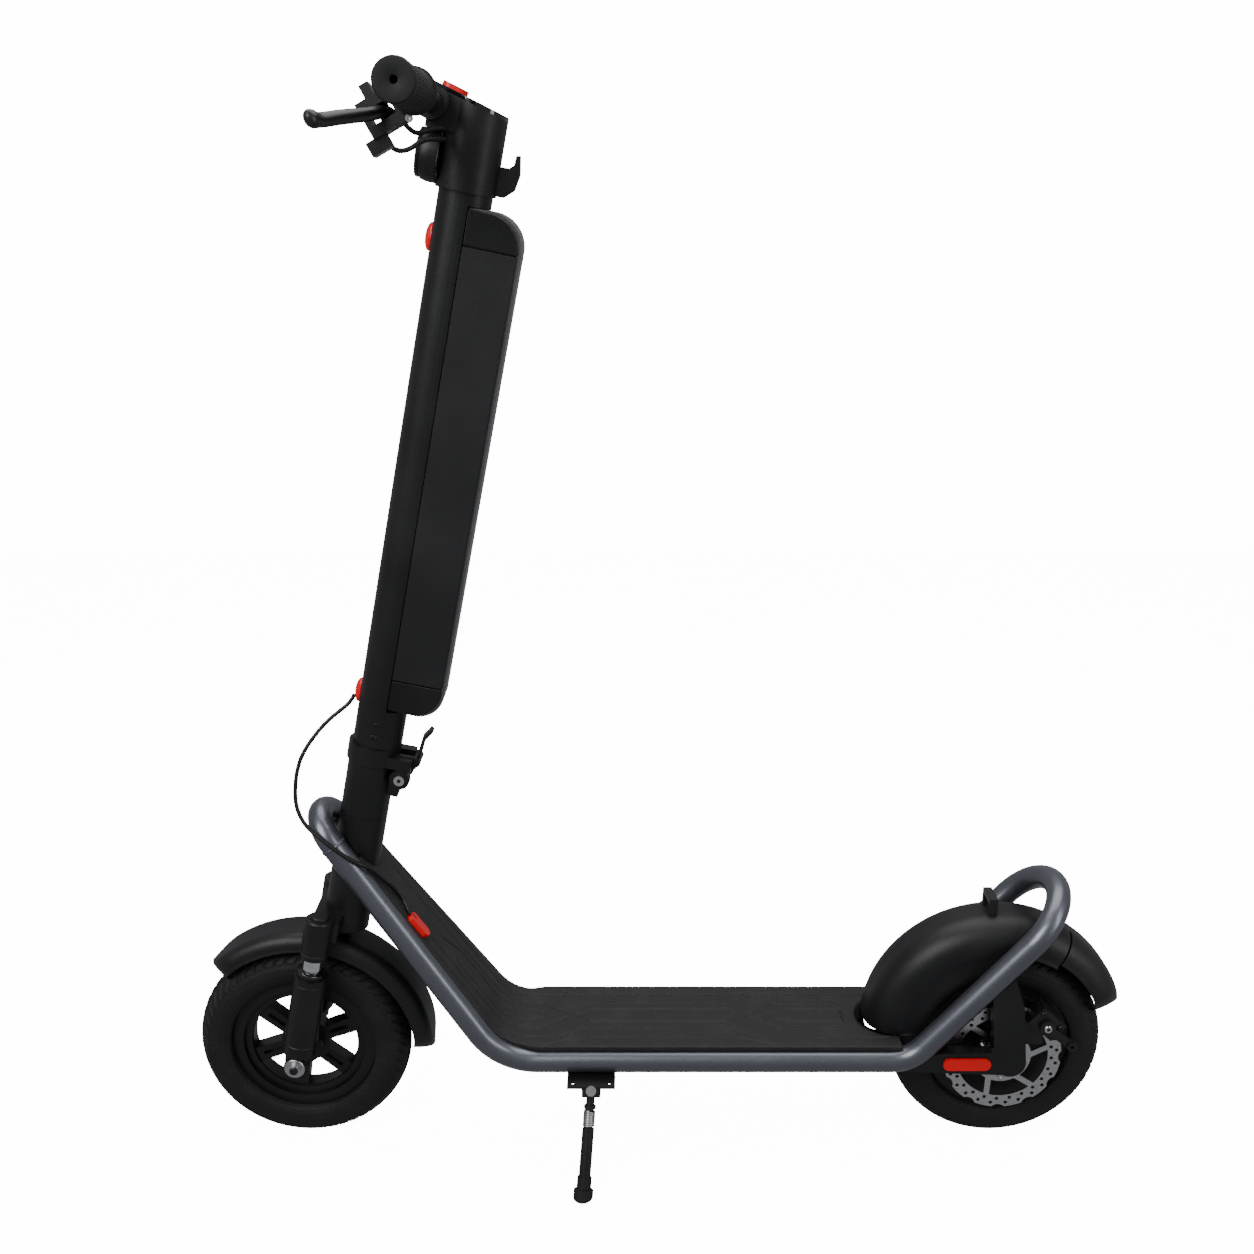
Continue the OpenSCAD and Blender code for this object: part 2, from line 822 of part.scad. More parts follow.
// === folding joint and stem =====================================================================
module along_pin() { along_steering() translate([fold_pin_at[0], 0, fold_pin_at[1]]) children(); }
knuckle_hw = 13;
base_top_s = fold_s;
module fold_base() {
    color(black)
    difference() {
        union() {
            along_steering(head_tube_s[1] + 0.4) cylinder(r = head_tube_r, h = base_top_s - head_tube_s[1] - 0.4);
            along_pin() across(9, -knuckle_hw, knuckle_hw);
            along_steering(fold_pin_at[1] - 26) translate([18, -knuckle_hw, 0]) cube([18, 2 * knuckle_hw, 24]);
        }
        along_steering(head_tube_s[1]) cylinder(r = steerer_r, h = 25.5);
        along_steering(head_tube_s[1] + 24) cylinder(r = 22, h = 60);
        along_pin() across(4, -30, 30);
        // room for the ears and the collar as they turn about the pin
        along_pin() both_sides() across(12.5, knuckle_hw, 30);
        along_steering(fold_pin_at[1] + 9.2) translate([16, -40, 0]) cube([40, 80, 30]);
    }
}
module fold_pin() {
    color(steel)
    along_pin() {
        across(4, -24, 24);
        across(6, -26.5, -24);
        across(6, 24, 26.5);
    }
}
stem_r = 25.5;
stem_back = 4.5;          // the oval stem's rear half is centred this far behind the axis
module stem_oval(r) {
    circle(r = r);
    translate([stem_back, 0]) circle(r = r);
    translate([0, -r]) square([stem_back, 2 * r]);
}
latch_hw = 7.6;
module at_latch() { along_steering() translate([latch_at[0], 0, latch_at[1]]) children(); }
module fold_collar() {
    height = collar_s[1] - collar_s[0];
    color(black)
    difference() {
        union() {
            along_steering(collar_s[0]) cylinder(r = head_tube_r + 2.5, h = height);
            along_pin() both_sides() across(11.5, knuckle_hw + gap, 23.5);
            along_steering(collar_s[0]) both_sides() translate([8, knuckle_hw + gap, 0]) cube([38, 10.2, 13]);
            along_steering(collar_s[0]) both_sides() translate([24, latch_hw + gap, 1]) cube([27, 6, 13]);
            at_latch() both_sides() across(5.2, latch_hw + gap, latch_hw + 6);
        }
        along_steering(collar_s[0] + 6) linear_extrude(height = 40) stem_oval(stem_r);
        along_steering(collar_s[0] - 1) cylinder(r = 20, h = 10);
        along_pin() across(4 + fit, -30, 30);
        at_latch() across(2, -12, 12);
    }
    color(steel)
    at_latch()
    across(1.98, -latch_hw - 6, latch_hw + 6);
}
module latch_lever() {
    color(black)
    at_latch()
    difference() {
        union() {
            across(5, -latch_hw, latch_hw);
            translate([-1, -latch_hw, 0]) rotate([0, 6, 0]) cube([4, 2 * latch_hw, 30]);
            translate([2.2, -latch_hw, 29]) rotate([0, 32, 0]) cube([4.5, 2 * latch_hw, 13]);
        }
        across(2 + fit, -12, 12);
    }
}
module stem_tube() {
    color(black)
    difference() {
        along_steering(collar_s[0] + 6) linear_extrude(height = seam_s - collar_s[0] - 6) stem_oval(stem_r);
        difference() {
            along_steering(collar_s[0] + 5) linear_extrude(height = seam_s) stem_oval(stem_r - 3);
            along_steering(bay_s[0] - 4) translate([bay_x - 3, -30, 0]) cube([60, 60, bay_s[1] - bay_s[0] + 8]);
        }
        along_steering(bay_s[0]) translate([bay_x, -40, 0]) cube([60, 80, bay_s[1] - bay_s[0]]);
    }
}
plug_s = [1080, 580];
module stem_plugs() {
    color(red)
    for (s = plug_s)
        along_steering(s)
        difference() {
            union() {
                for (z = [-8, 8]) translate([-stem_r - 5, 0, z]) rotate([0, 90, 0]) cylinder(r = 8, h = 9);
                translate([-stem_r - 5, -8, -8]) cube([9, 16, 16]);
            }
            translate([0, 0, -30]) cylinder(r = stem_r, h = 60);
            if (s == plug_s[1]) translate([-stem_r - 9, 0, -4]) rotate([0, 52, 0]) cylinder(r = 5.6, h = 30, center = true);
        }
}
module stem_cable() { color(rubber) cable(stem_cable_points, [0, 1, 0]); }
module deck_cable() { color(rubber) cable(deck_cable_points, [0, 1, 0]); }
module brake_cable() {
    color(rubber) {
        cable(brake_cable_points, [1, 0, 0]);
        cable(switch_wire_points, [1, 0, 0]);
    }
}

// a cable: rings of eight points along a smooth line through its route
cable_r = 2.4;
function at(p, i) = p[max(0, min(len(p) - 1, i))];
function between(p, i, t) = 0.5 * (2 * at(p, i)
    + (at(p, i + 1) - at(p, i - 1)) * t
    + (2 * at(p, i - 1) - 5 * at(p, i) + 4 * at(p, i + 1) - at(p, i + 2)) * t * t
    + (3 * at(p, i) - at(p, i - 1) - 3 * at(p, i + 1) + at(p, i + 2)) * t * t * t);
function smooth(p) = [for (i = [0 : len(p) - 2], t = [0, 0.5]) between(p, i, t), p[len(p) - 1]];
function heading(p, i) = (at(p, i + 1) - at(p, i - 1)) / norm(at(p, i + 1) - at(p, i - 1));
function unit(v) = v / norm(v);
function ring(c, along, u) = [for (k = [0 : 7]) c + cable_r * (cos(k * 45) * u + sin(k * 45) * cross(along, u))];
module cable(route, side) {
    line = smooth(route);
    last = len(line) - 1;
    rings = [for (i = [0 : last]) each ring(line[i], heading(line, i), unit(cross(heading(line, i), side)))];
    walls = [for (i = [0 : last - 1], k = [0 : 7]) let (a = 8 * i + k, b = 8 * i + (k + 1) % 8)
        each [[a, a + 8, b + 8], [a, b + 8, b]]];
    ends = [[for (k = [0 : 7]) k], [for (k = [7 : -1 : 0]) 8 * last + k]];
    from_axle() polyhedron(points = rings, faces = concat(walls, ends));
}
// out of the lower stem plug, forward and down to the front of the head tube
stem_cable_points = [
    [84, -1, 570], [79, -3, 562], [70, -6, 554], [57, -10, 544], [44, -14, 531], [33, -19, 517], [24, -24, 501], [19, -28, 484]
];
// on from there, over the left tube and along the mat to the grommet
deck_cable_points = [
    [18.6, -28.4, 481.5], [17, -31, 466], [18, -35, 450], [24, -40, 435], [34, -44, 423], [46, -48, 414],
    [59, -51, 404], [70, -51, 395.5], [83, -47, 384.5], [94, -42.5, 376.5], [103, -34, 364],
    [115.5, -26, 346.5], [123.5, -22, 335], [131, -24, 324.5], [136.5, -31, 316.5], [139.9, -35, 311.6], [143.4, -35, 306.6]
];
// from the brake lever's clamp in a loop into the front of the head, and the lever switch's wire
brake_cable_points = [
    [171.3, -117.8, 1146.6], [175.5, -110, 1142.5], [180, -99, 1141], [186.5, -85, 1143.5], [191, -71, 1148],
    [196, -58, 1152], [204, -44, 1154], [211.5, -32, 1154]
];
switch_wire_points = [
    [176.6, -115.6, 1174.4], [181, -107, 1170], [185, -95, 1164], [190, -78, 1158.5], [195, -62, 1159], [203, -44, 1163], [211, -31, 1164]
];

// === head and handlebar =========================================================================
module below_top(h) { top_frame() translate([-40, -60, -h]) cube([180, 120, h + 60]); }
head_r = 31;
module head() {
    color(black)
    difference() {
        union() {
            along_steering(seam_s) translate([1.5, 0, 0]) cylinder(r = head_r, h = 110);
            along_steering(1182) translate([bar_at[0] - 4, -27, 0]) cube([44, 54, 50]);
            along_steering() translate([bar_at[0], 0, bar_at[1]]) across(17, -44, 44);
        }
        along_steering(seam_s - 1) translate([1.5, 0, 0]) cylinder(r = head_r - 4, h = 62);
        along_steering() translate([bar_at[0], 0, bar_at[1]]) across(bar_r + 0.02, -60, 60);
        below_top(4);
        along_steering(1158) translate([-60, 0, 0]) rotate([0, 90, 0]) cylinder(r = 27.2, h = 32);
        along_steering() top_well();
    }
}
module top_well() {
    translate([top_front[0], 0, top_front[1]])
        rotate([0, -top_slope, 0])
        translate([button_x - 14, -9.3, -8.4])
        cube([28, 18.6, 20]);
}
module display() {
    color([0.02, 0.02, 0.02])
    difference() {
        intersection() {
            top_frame() translate([-12, -60, -3.98]) cube([120, 120, 3.98]);
            union() {
                along_steering(seam_s) translate([1.5, 0, 0]) cylinder(r = head_r, h = 130);
                along_steering(1182) translate([bar_at[0] - 4, -27, 0]) cube([44, 54, 70]);
            }
        }
        along_steering() top_well();
    }
}
module power_button() {
    color(red)
    top_frame()
    translate([button_x, 0, -5]) {
        for (x = [-4.7, 4.7]) translate([x, 0, 0]) cylinder(r = 8.8, h = 10);
        translate([-4.7, -8.8, 0]) cube([9.4, 17.6, 10]);
    }
}
light_s = 1158;
module headlight() {
    color(black)
    along_steering(light_s)
    rotate([0, -90, 0]) {
        difference() {
            union() {
                translate([0, 0, 29]) cylinder(r = 27, h = 18);
                translate([0, 0, 47]) cylinder(r = 24, h = 4);
            }
            translate([0, 0, 32]) cylinder(r = 20, h = 30);
            translate([-40, 0, -1.5]) rotate([0, 90, 0]) cylinder(r = head_r + 0.02, h = 80);
        }
    }
}
module headlight_lens() {
    color([0.85, 0.88, 0.9, 0.5])
    along_steering(light_s)
    rotate([0, -90, 0])
    translate([0, 0, 46])
    cylinder(r = 19.9, h = 4);
}
module bag_hook() {
    color(black)
    difference() {
        along_steering()
            rotate([90, 0, 0])
            translate([0, 0, -6])
            linear_extrude(height = 12)
            polygon([[30, 1131], [40, 1131], [50, 1140], [53, 1156], [50, 1174], [46, 1173], [45.5, 1164], [41, 1160], [30, 1160]]);
        along_steering(seam_s - 5) translate([1.5, 0, 0]) cylinder(r = head_r + 0.02, h = 90);
    }
}
module handlebar() {
    color(black)
    along_steering()
    translate([bar_at[0], 0, bar_at[1]])
    difference() {
        across(bar_r, -bar_half + 3, bar_half - 3);
        across(bar_r - 2, -bar_half, bar_half);
    }
}
grip_in = 145;
end_hole_r = 3.25;
module grips() {
    color(rubber)
    both_sides()
    along_steering()
    translate([bar_at[0], 0, bar_at[1]])
    difference() {
        union() {
            across(grip_r, -bar_half, -grip_in - 4);
            across(grip_r + 2, -grip_in - 4, -grip_in);
        }
        across(bar_r + 0.02, -bar_half + 3, -100);
        across(end_hole_r, -bar_half - 1, -100);
    }
}
module lever_clamps() {
    color(black)
    bar_frame()
    difference() {
        union() {
            across(17, -141, -122);
            translate([8, -141, -9]) cube([15.5, 19, 18]);
            translate([18, -142, -16]) cube([34, 25, 9.2]);
            translate([18, -142, 6.8]) cube([34, 25, 10.2]);
            translate([47, -142, -16]) cube([6, 25, 33]);
            translate([42, -139, 16]) cube([20, 20, 13]);
            translate([33, -140, -28]) cube([9, 17, 13]);
            across(16, throttle_y + 7, throttle_y + 20);
        }
        across(bar_r + 0.02, -160, 160);
        translate([brake_pivot[0], brake_pivot[1], -20]) cylinder(r = 3, h = 40);
    }
    color(steel)
    bar_frame()
    translate([brake_pivot[0], brake_pivot[1], -15.5])
    cylinder(r = 2.98, h = 31);
}
module brake_lever() {
    color(black)
    bar_frame()
    difference() {
        union() {
            translate([brake_pivot[0], brake_pivot[1], -6]) cylinder(r = 6.5, h = 12);
            hull() {
                translate([brake_pivot[0], brake_pivot[1] - 8, 0]) sphere(r = 5.8, $fn = 32);
                translate([46, -168, -1]) sphere(r = 6, $fn = 32);
            }
            hull() {
                translate([46, -168, -1]) sphere(r = 6, $fn = 32);
                translate([74, -222, -8]) sphere(r = 6, $fn = 32);
            }
            hull() {
                translate([74, -222, -8]) sphere(r = 6, $fn = 32);
                translate([77, -235, -11]) sphere(r = 7.5, $fn = 32);
            }
        }
        translate([brake_pivot[0], brake_pivot[1], -20]) cylinder(r = 3 + fit, h = 40);
    }
}
module throttle_lever() {
    color(black)
    bar_frame()
    difference() {
        union() {
            across(14.5, throttle_y - 6, throttle_y + 6);
            translate([-6, throttle_y - 5, 8]) rotate([0, -20, 0]) cube([9, 10, 34]);
        }
        across(bar_r + fit, 90, 150);
    }
}

// === battery ====================================================================================
cap_h = 38;
module battery_outline(inset) {
    top_round = 34;
    low_round = 28;
    front = bay_x + 0.3 + inset;
    rear = battery_x - inset;
    low = bay_s[0] + 0.3 + inset;
    high = bay_s[1] - 0.5 - inset;
    difference() {
        translate([front, low]) square([rear - front, high - low]);
        translate([rear - top_round, high - top_round]) difference() {
            square([top_round + 1, top_round + 1]);
            circle(r = top_round);
        }
        translate([rear - low_round, low]) difference() {
            translate([0, -1]) square([low_round + 1, low_round + 1]);
            translate([0, low_round]) circle(r = low_round);
        }
    }
}
module battery_block(inset, hw) {
    along_steering() translate([0, hw, 0]) rotate([90, 0, 0]) linear_extrude(height = 2 * hw) battery_outline(inset);
}
cap_split = [bay_s[0] + cap_h, bay_s[1] - cap_h];
module battery_between(s0, s1) { along_steering(s0) translate([-100, -100, 0]) cube([300, 200, s1 - s0]); }
module battery_case() {
    color([0.11, 0.11, 0.115])
    difference() {
        intersection() {
            battery_block(0, battery_hw);
            battery_between(cap_split[0], cap_split[1]);
        }
        battery_block(2.5, battery_hw - 2.5);
    }
}
module battery_caps() {
    color(black)
    difference() {
        battery_block(0, battery_hw);
        battery_between(cap_split[0] - 0.1, cap_split[1] + 0.1);
        battery_block(3, battery_hw - 3);
    }
}
module battery_cells() {
    cell_r = 9;
    cell_len = 42;
    color("steelblue")
    along_steering()
    for (s = [cap_split[0] + 14 : 2 * cell_r + 0.6 : cap_split[1] - 12], x = [23, 42.5])
        translate([x, 0, s]) across(cell_r, -cell_len / 2, cell_len / 2);
}

frame_tube_left();
frame_tube_right();
head_tube();
headset_bearings();
deck_tray();
deck_base();
controller();
deck_mat();
cable_grommet();
dropouts();
tail_reflectors();
rear_fender();
fender_tail();
catch_loop();
kickstand_plate();
kickstand_bolt();
caliper();
brake_pads();
rear_axle();
motor_stator();
steerer();
fork_crown();
stanchions();
fork_springs();
front_fender();
fold_base();
fold_pin();
deck_cable();
lower_legs();
front_axle();
front_rim();
front_tyre();
front_bearings();
stem_tube();
fold_collar();
stem_plugs();
stem_cable();
head();
display();
headlight();
headlight_lens();
bag_hook();
handlebar();
grips();
lever_clamps();
brake_cable();
battery_case();
battery_caps();
battery_cells();
latch_lever();
brake_lever();
throttle_lever();
power_button();
rear_tyre();
motor_shell();
brake_rotor();
kickstand_leg();
kickstand_foot();
kickstand_spring();
caliper_arm();
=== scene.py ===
# %% [markdown]
# # Folding electric kick scooter
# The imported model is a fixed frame: every node is already in its place, in metres, with +X to the rear,
# -Y to the rider's left and +Z up. This script gives each node its finish and replaces the plain pieces,
# such as the tyres, the mat and the cables, with shapes worked out as whole arrays.

# %% Load the frame
import json
from math import acos, atan2, cos, hypot, pi, radians, sin

import bpy
import numpy as np
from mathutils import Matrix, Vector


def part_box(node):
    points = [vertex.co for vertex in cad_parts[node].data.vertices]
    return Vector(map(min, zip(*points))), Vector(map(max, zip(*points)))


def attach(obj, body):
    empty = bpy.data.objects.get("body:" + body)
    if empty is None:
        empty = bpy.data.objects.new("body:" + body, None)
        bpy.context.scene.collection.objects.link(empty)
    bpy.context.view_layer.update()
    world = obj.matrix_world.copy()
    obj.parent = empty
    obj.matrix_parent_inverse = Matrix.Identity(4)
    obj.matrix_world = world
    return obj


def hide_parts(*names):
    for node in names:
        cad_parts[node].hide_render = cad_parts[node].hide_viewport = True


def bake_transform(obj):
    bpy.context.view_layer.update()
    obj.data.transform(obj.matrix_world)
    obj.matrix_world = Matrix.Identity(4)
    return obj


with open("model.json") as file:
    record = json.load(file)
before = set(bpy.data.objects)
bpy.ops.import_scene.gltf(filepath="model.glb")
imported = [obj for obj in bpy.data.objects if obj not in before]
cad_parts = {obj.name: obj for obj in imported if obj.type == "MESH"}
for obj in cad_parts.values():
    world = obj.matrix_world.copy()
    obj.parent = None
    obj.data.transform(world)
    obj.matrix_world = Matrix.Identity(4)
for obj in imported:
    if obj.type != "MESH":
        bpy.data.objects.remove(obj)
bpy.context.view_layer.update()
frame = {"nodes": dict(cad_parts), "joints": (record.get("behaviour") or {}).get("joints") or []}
MM = 0.001

# %% [markdown]
# ## Camera
# A 38.6 mm lens on a square 36 mm sensor, level from side to side and tipped 17.2 degrees down. The
# scooter stands broadside, its front wheel to the left.

# %% Camera
CAMERA_TILT = 17.193
camera_data = bpy.data.cameras.new("camera")
camera_data.lens, camera_data.sensor_width = 38.58, 36
front_hub = np.array(next(j for j in frame["joints"] if j["name"] == "front_wheel_spin")["pos_m"])
camera = bpy.data.objects.new("camera", camera_data)
camera.location = (front_hub[0] + 0.38971, -1.41908, 1.08754)
camera.rotation_euler = (radians(90 - CAMERA_TILT), 0, 0)
bpy.context.scene.collection.objects.link(camera)
bpy.context.scene.camera = camera

# %% [markdown]
# ## Places
# Three places are worked out from the frame's own boxes and joints: the two wheel centres, and the
# steering frame, whose x runs to the rear and whose s climbs along the leaning steering axis.

# %% Places
joints = {joint["name"]: joint for joint in frame["joints"]}
steer_axis = np.array(joints["steer"]["axis"])
steer_foot = np.array(joints["steer"]["pos_m"])
steer_back = np.array([steer_axis[2], 0, -steer_axis[0]])
rear_hub = np.array(joints["rear_wheel_spin"]["pos_m"])


def steered(x, y, s):
    """Millimetres in the steering frame, as points in the row frame."""
    x, y, s = np.broadcast_arrays(*(np.asarray(value, float)[..., None] * MM for value in (x, y, s)))
    return steer_foot + x * steer_back + y * np.array([0, 1, 0]) + s * steer_axis


bar_centre = np.array(joints["throttle_push"]["pos_m"])
lever_down = -np.array(joints["brake_squeeze"]["axis"])
lever_out = np.cross([0, 1, 0], lever_down)


def on_bar(x, y, z):
    """Millimetres from the middle of the bar: x out along the lever's reach, y across, z down."""
    x, y, z = np.broadcast_arrays(*(np.asarray(value, float)[..., None] * MM for value in (x, y, z)))
    return bar_centre + x * lever_out + y * np.array([0, 1, 0]) + z * lever_down


def from_axle(points):
    """Millimetres from the ground below the front axle, as points in the row frame."""
    return np.asarray(points, float) * MM + [front_hub[0], 0, 0]


print("front hub", front_hub.round(4), "rear hub", rear_hub.round(4))

# %% [markdown]
# ## Shader arithmetic
# A finish is easier to read as an expression than as wires. Value wraps a socket, so that adding or
# multiplying two of them adds a Math node, and Finish holds one material and makes any other node.

# %% Shader expressions
class Value:
    """A number that varies over a surface."""

    def __init__(self, finish, socket):
        self.finish, self.socket = finish, socket

    def maths(self, operation, *others):
        settings = {"operation": operation}
        inputs = {index: other for index, other in enumerate((self, *others))}
        return self.finish.node("ShaderNodeMath", settings, inputs)

    def __add__(self, other): return self.maths("ADD", other)
    def __radd__(self, other): return self.maths("ADD", other)
    def __mul__(self, other): return self.maths("MULTIPLY", other)
    def __rmul__(self, other): return self.maths("MULTIPLY", other)
    def __sub__(self, other): return self.maths("SUBTRACT", other)
    def __rsub__(self, other): return (self * -1.0) + other
    def __gt__(self, other): return self.maths("GREATER_THAN", other)
    def power(self, other): return self.maths("POWER", other)

    def ramp(self, low, high):
        """0 below low, 1 above high, and smooth between."""
        return self.finish.node(
            "ShaderNodeMapRange",
            {"interpolation_type": "SMOOTHSTEP"},
            {"Value": self, "From Min": low, "From Max": high},
        )


class Finish:
    """One material: a Principled shader and the nodes that vary it."""

    def __init__(self, name):
        self.material = bpy.data.materials.new(name)
        self.material.use_nodes = True
        self.nodes = self.material.node_tree.nodes
        self.links = self.material.node_tree.links
        self.shader = self.nodes["Principled BSDF"]
        self.object_place = self.node("ShaderNodeTexCoord", {}, {}, output="Object")

    def node(self, kind, settings, inputs, output=0):
        made = self.nodes.new(kind)
        for key, value in settings.items():
            setattr(made, key, value)
        for key, value in inputs.items():
            self.feed(made.inputs[key], value)
        return Value(self, made.outputs[output])

    def feed(self, socket, value):
        if isinstance(value, Value):
            self.links.new(value.socket, socket)
        else:
            socket.default_value = value

    def set(self, **values):
        for key, value in values.items():
            self.feed(self.shader.inputs[key.replace("_", " ")], value)
        return self

    def noise(self, scale, detail=3.0, roughness=0.55, place=None):
        place = place or self.object_place
        inputs = {"Vector": place, "Scale": scale, "Detail": detail, "Roughness": roughness}
        return self.node("ShaderNodeTexNoise", {}, inputs)

    def stretched(self, x, y, z):
        """The object's coordinates, scaled along each axis."""
        return self.node("ShaderNodeMapping", {}, {"Vector": self.object_place, "Scale": (x, y, z)})

    def along(self, axis):
        return self.node("ShaderNodeSeparateXYZ", {}, {"Vector": self.object_place}, output=axis)

    def blend(self, amount, first, second):
        """The first colour where amount is 0, the second where it is 1."""
        inputs = {0: amount, 6: (*first, 1) if len(first) == 3 else first, 7: (*second, 1)}
        return self.node("ShaderNodeMix", {"data_type": "RGBA"}, inputs, output=2)

    def bumped(self, height, strength, distance):
        inputs = {"Height": height, "Strength": strength, "Distance": distance}
        normal = self.node("ShaderNodeBump", {}, inputs, output="Normal")
        self.feed(self.shader.inputs["Normal"], normal)
        return self


# %% [markdown]
# ## Finishes
# Most of the scooter is black, so the finishes differ in gloss and grain more than in colour: satin
# powder coat on the tubes and castings, finely grained plastic on the covers, and dull rubber underfoot.

# %% Paints and plastics
def coated(name, colour, roughness, grain=900.0, depth=0.25, metallic=0.0, coat=0.0, gleam=0.35):
    """A coat or moulding with a fine grain, and a roughness that drifts gently over the piece."""
    finish = Finish(name)
    drift = finish.noise(9.0, 2.0)
    lighter = tuple(min(1.0, channel * 1.35 + 0.004) for channel in colour)
    finish.set(
        Base_Color=finish.blend(drift.ramp(0.35, 0.75), colour, lighter),
        Roughness=drift * 0.12 + (roughness - 0.06),
        Metallic=metallic,
        Coat_Weight=coat,
        Coat_Roughness=0.18,
        Specular_IOR_Level=gleam,
    )
    return finish.bumped(finish.noise(grain, 2.0), depth, 0.00012).material


powder_coat = coated("powder_coat", (0.0055, 0.0055, 0.0058), 0.40, 1500.0, 0.25)
cast_black = coated("cast_black", (0.006, 0.006, 0.0064), 0.36, 700.0, 0.30, gleam=0.45)
cover_plastic = coated("cover_plastic", (0.0055, 0.0055, 0.006), 0.44, 1800.0, 0.35)
case_plastic = coated("case_plastic", (0.0085, 0.0085, 0.009), 0.46, 2200.0, 0.30)
# Painted highlight: a paler grey for the light caught along the battery's rounded rear edge.
edge_plastic = coated("edge_plastic", (0.07, 0.07, 0.075), 0.40, 1800.0, 0.2)
cap_plastic = coated("cap_plastic", (0.0045, 0.0045, 0.0048), 0.34, 1800.0, 0.25)
red_plastic = coated("red_plastic", (0.62, 0.0015, 0.003), 0.32, 500.0, 0.1, coat=0.15)
cell_wrap = coated("cell_wrap", (0.02, 0.12, 0.30), 0.35, 400.0, 0.1)
soft_black = coated("soft_black", (0.005, 0.005, 0.005), 0.45, 1200.0, 0.4)


# %% Grey frame paint
def frame_grey():
    """Metallic paint: flakes glitter a little in a blue-grey base under a clear coat."""
    finish = Finish("frame_grey")
    flake_inputs = {"Vector": finish.object_place, "Scale": 2600.0}
    flakes = finish.node("ShaderNodeTexVoronoi", {}, flake_inputs, output="Color")
    flake = finish.node("ShaderNodeSeparateColor", {}, {"Color": flakes}, output=0)
    drift = finish.noise(7.0, 2.0)
    finish.set(
        Base_Color=finish.blend(flake * 0.35 + drift * 0.3, (0.10, 0.105, 0.125), (0.20, 0.21, 0.24)),
        Metallic=0.85,
        Roughness=flake * 0.08 + (drift * 0.08 + 0.30),
        Coat_Weight=0.35,
        Coat_Roughness=0.12,
    )
    return finish.bumped(finish.noise(160.0, 2.0), 0.08, 0.0002).material


# %% Metals
def brushed(name, colour, roughness, stretch=(1.0, 1.0, 1.0)):
    """Machined metal: noise drawn out along one axis makes fine brush lines."""
    finish = Finish(name)
    lines = finish.noise(700.0, 2.0, place=finish.stretched(*stretch))
    darker = tuple(channel * 0.75 for channel in colour)
    finish.set(
        Base_Color=finish.blend(lines.ramp(0.3, 0.7), darker, colour),
        Metallic=1.0,
        Roughness=lines * 0.14 + (roughness - 0.07),
    )
    return finish.bumped(lines, 0.12, 0.0001).material


bare_steel = brushed("bare_steel", (0.56, 0.56, 0.57), 0.32)
rotor_steel = brushed("rotor_steel", (0.62, 0.62, 0.63), 0.26, (1.0, 0.05, 1.0))
chrome = brushed("chrome", (0.82, 0.82, 0.84), 0.12, (0.2, 0.2, 1.0))
bright_bolt = brushed("bright_bolt", (0.70, 0.70, 0.71), 0.22)
grey_frame = frame_grey()


# %% Rubber
def rubber(name, colour, roughness):
    """Rubber is matt, with a grain of its own and a faint bloom of dust in its hollows."""
    finish = Finish(name)
    dust = finish.noise(28.0, 4.0).ramp(0.45, 0.8)
    grain = finish.noise(1600.0, 3.0)
    dusty = tuple(channel * 1.5 + 0.002 for channel in colour)
    finish.set(Base_Color=finish.blend(dust, colour, dusty), Roughness=dust * 0.12 + roughness)
    finish.set(Specular_IOR_Level=0.3)
    return finish.bumped(grain, 0.5, 0.00015).material


tyre_rubber = rubber("tyre_rubber", (0.007, 0.007, 0.007), 0.62)
mat_rubber = rubber("mat_rubber", (0.014, 0.014, 0.0142), 0.60)
grip_rubber = rubber("grip_rubber", (0.007, 0.007, 0.007), 0.60)


# %% Glass and gloss
def gloss_screen():
    """The cover over the display is deep gloss black, with a slight waviness."""
    finish = Finish("gloss_screen")
    smear = finish.noise(30.0) * 0.05 + 0.03
    finish.set(Base_Color=(0.004, 0.004, 0.005, 1), Roughness=smear, Coat_Weight=0.6)
    return finish.bumped(finish.noise(22.0), 0.05, 0.0002).material


def clear_lens():
    """A moulded lens: clear, with fine rings that spread the beam."""
    finish = Finish("clear_lens")
    finish.set(Base_Color=(0.93, 0.95, 0.97, 1), Roughness=finish.noise(60.0) * 0.04 + 0.03, Alpha=0.28)
    return finish.material


def lamp_glow():
    finish = Finish("lamp")
    finish.set(Base_Color=(0.85, 0.82, 0.60, 1), Roughness=finish.noise(200.0) * 0.2 + 0.2)
    return finish.material


screen = gloss_screen()
lens_clear = clear_lens()
lamp_yellow = lamp_glow()

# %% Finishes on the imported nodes
FINISHES = {
    grey_frame: "frame_tube_left frame_tube_right",
    powder_coat: "head_tube deck_tray deck_base fork_crown lower_legs fold_base stem_tube fold_collar "
    "handlebar front_rim motor_shell kickstand_leg dropouts",
    cast_black: "catch_loop kickstand_plate caliper lever_clamps latch_lever brake_lever caliper_arm",
    cover_plastic: "rear_fender fender_tail front_fender head headlight bag_hook throttle_lever",
    case_plastic: "battery_case",
    cap_plastic: "battery_caps",
    bare_steel: "headset_bearings controller rear_axle motor_stator steerer fork_springs front_axle "
    "front_bearings kickstand_spring brake_pads kickstand_bolt",
    bright_bolt: "fold_pin",
    rotor_steel: "brake_rotor",
    chrome: "stanchions",
    screen: "display",
    lens_clear: "headlight_lens",
    mat_rubber: "deck_mat",
    grip_rubber: "grips kickstand_foot",
    soft_black: "stem_cable deck_cable brake_cable",
    tyre_rubber: "front_tyre rear_tyre",
    red_plastic: "cable_grommet tail_reflectors stem_plugs power_button",
    cell_wrap: "battery_cells",
}


def dress(piece, material):
    """Gives a node one finish all over."""
    if not piece.material_slots:
        piece.data.materials.append(material)
    for place in piece.material_slots:
        place.material = material


for material, names in FINISHES.items():
    for name in names.split():
        dress(frame["nodes"][name], material)
print(len(FINISHES), "finishes on", sum(len(names.split()) for names in FINISHES.values()), "nodes")

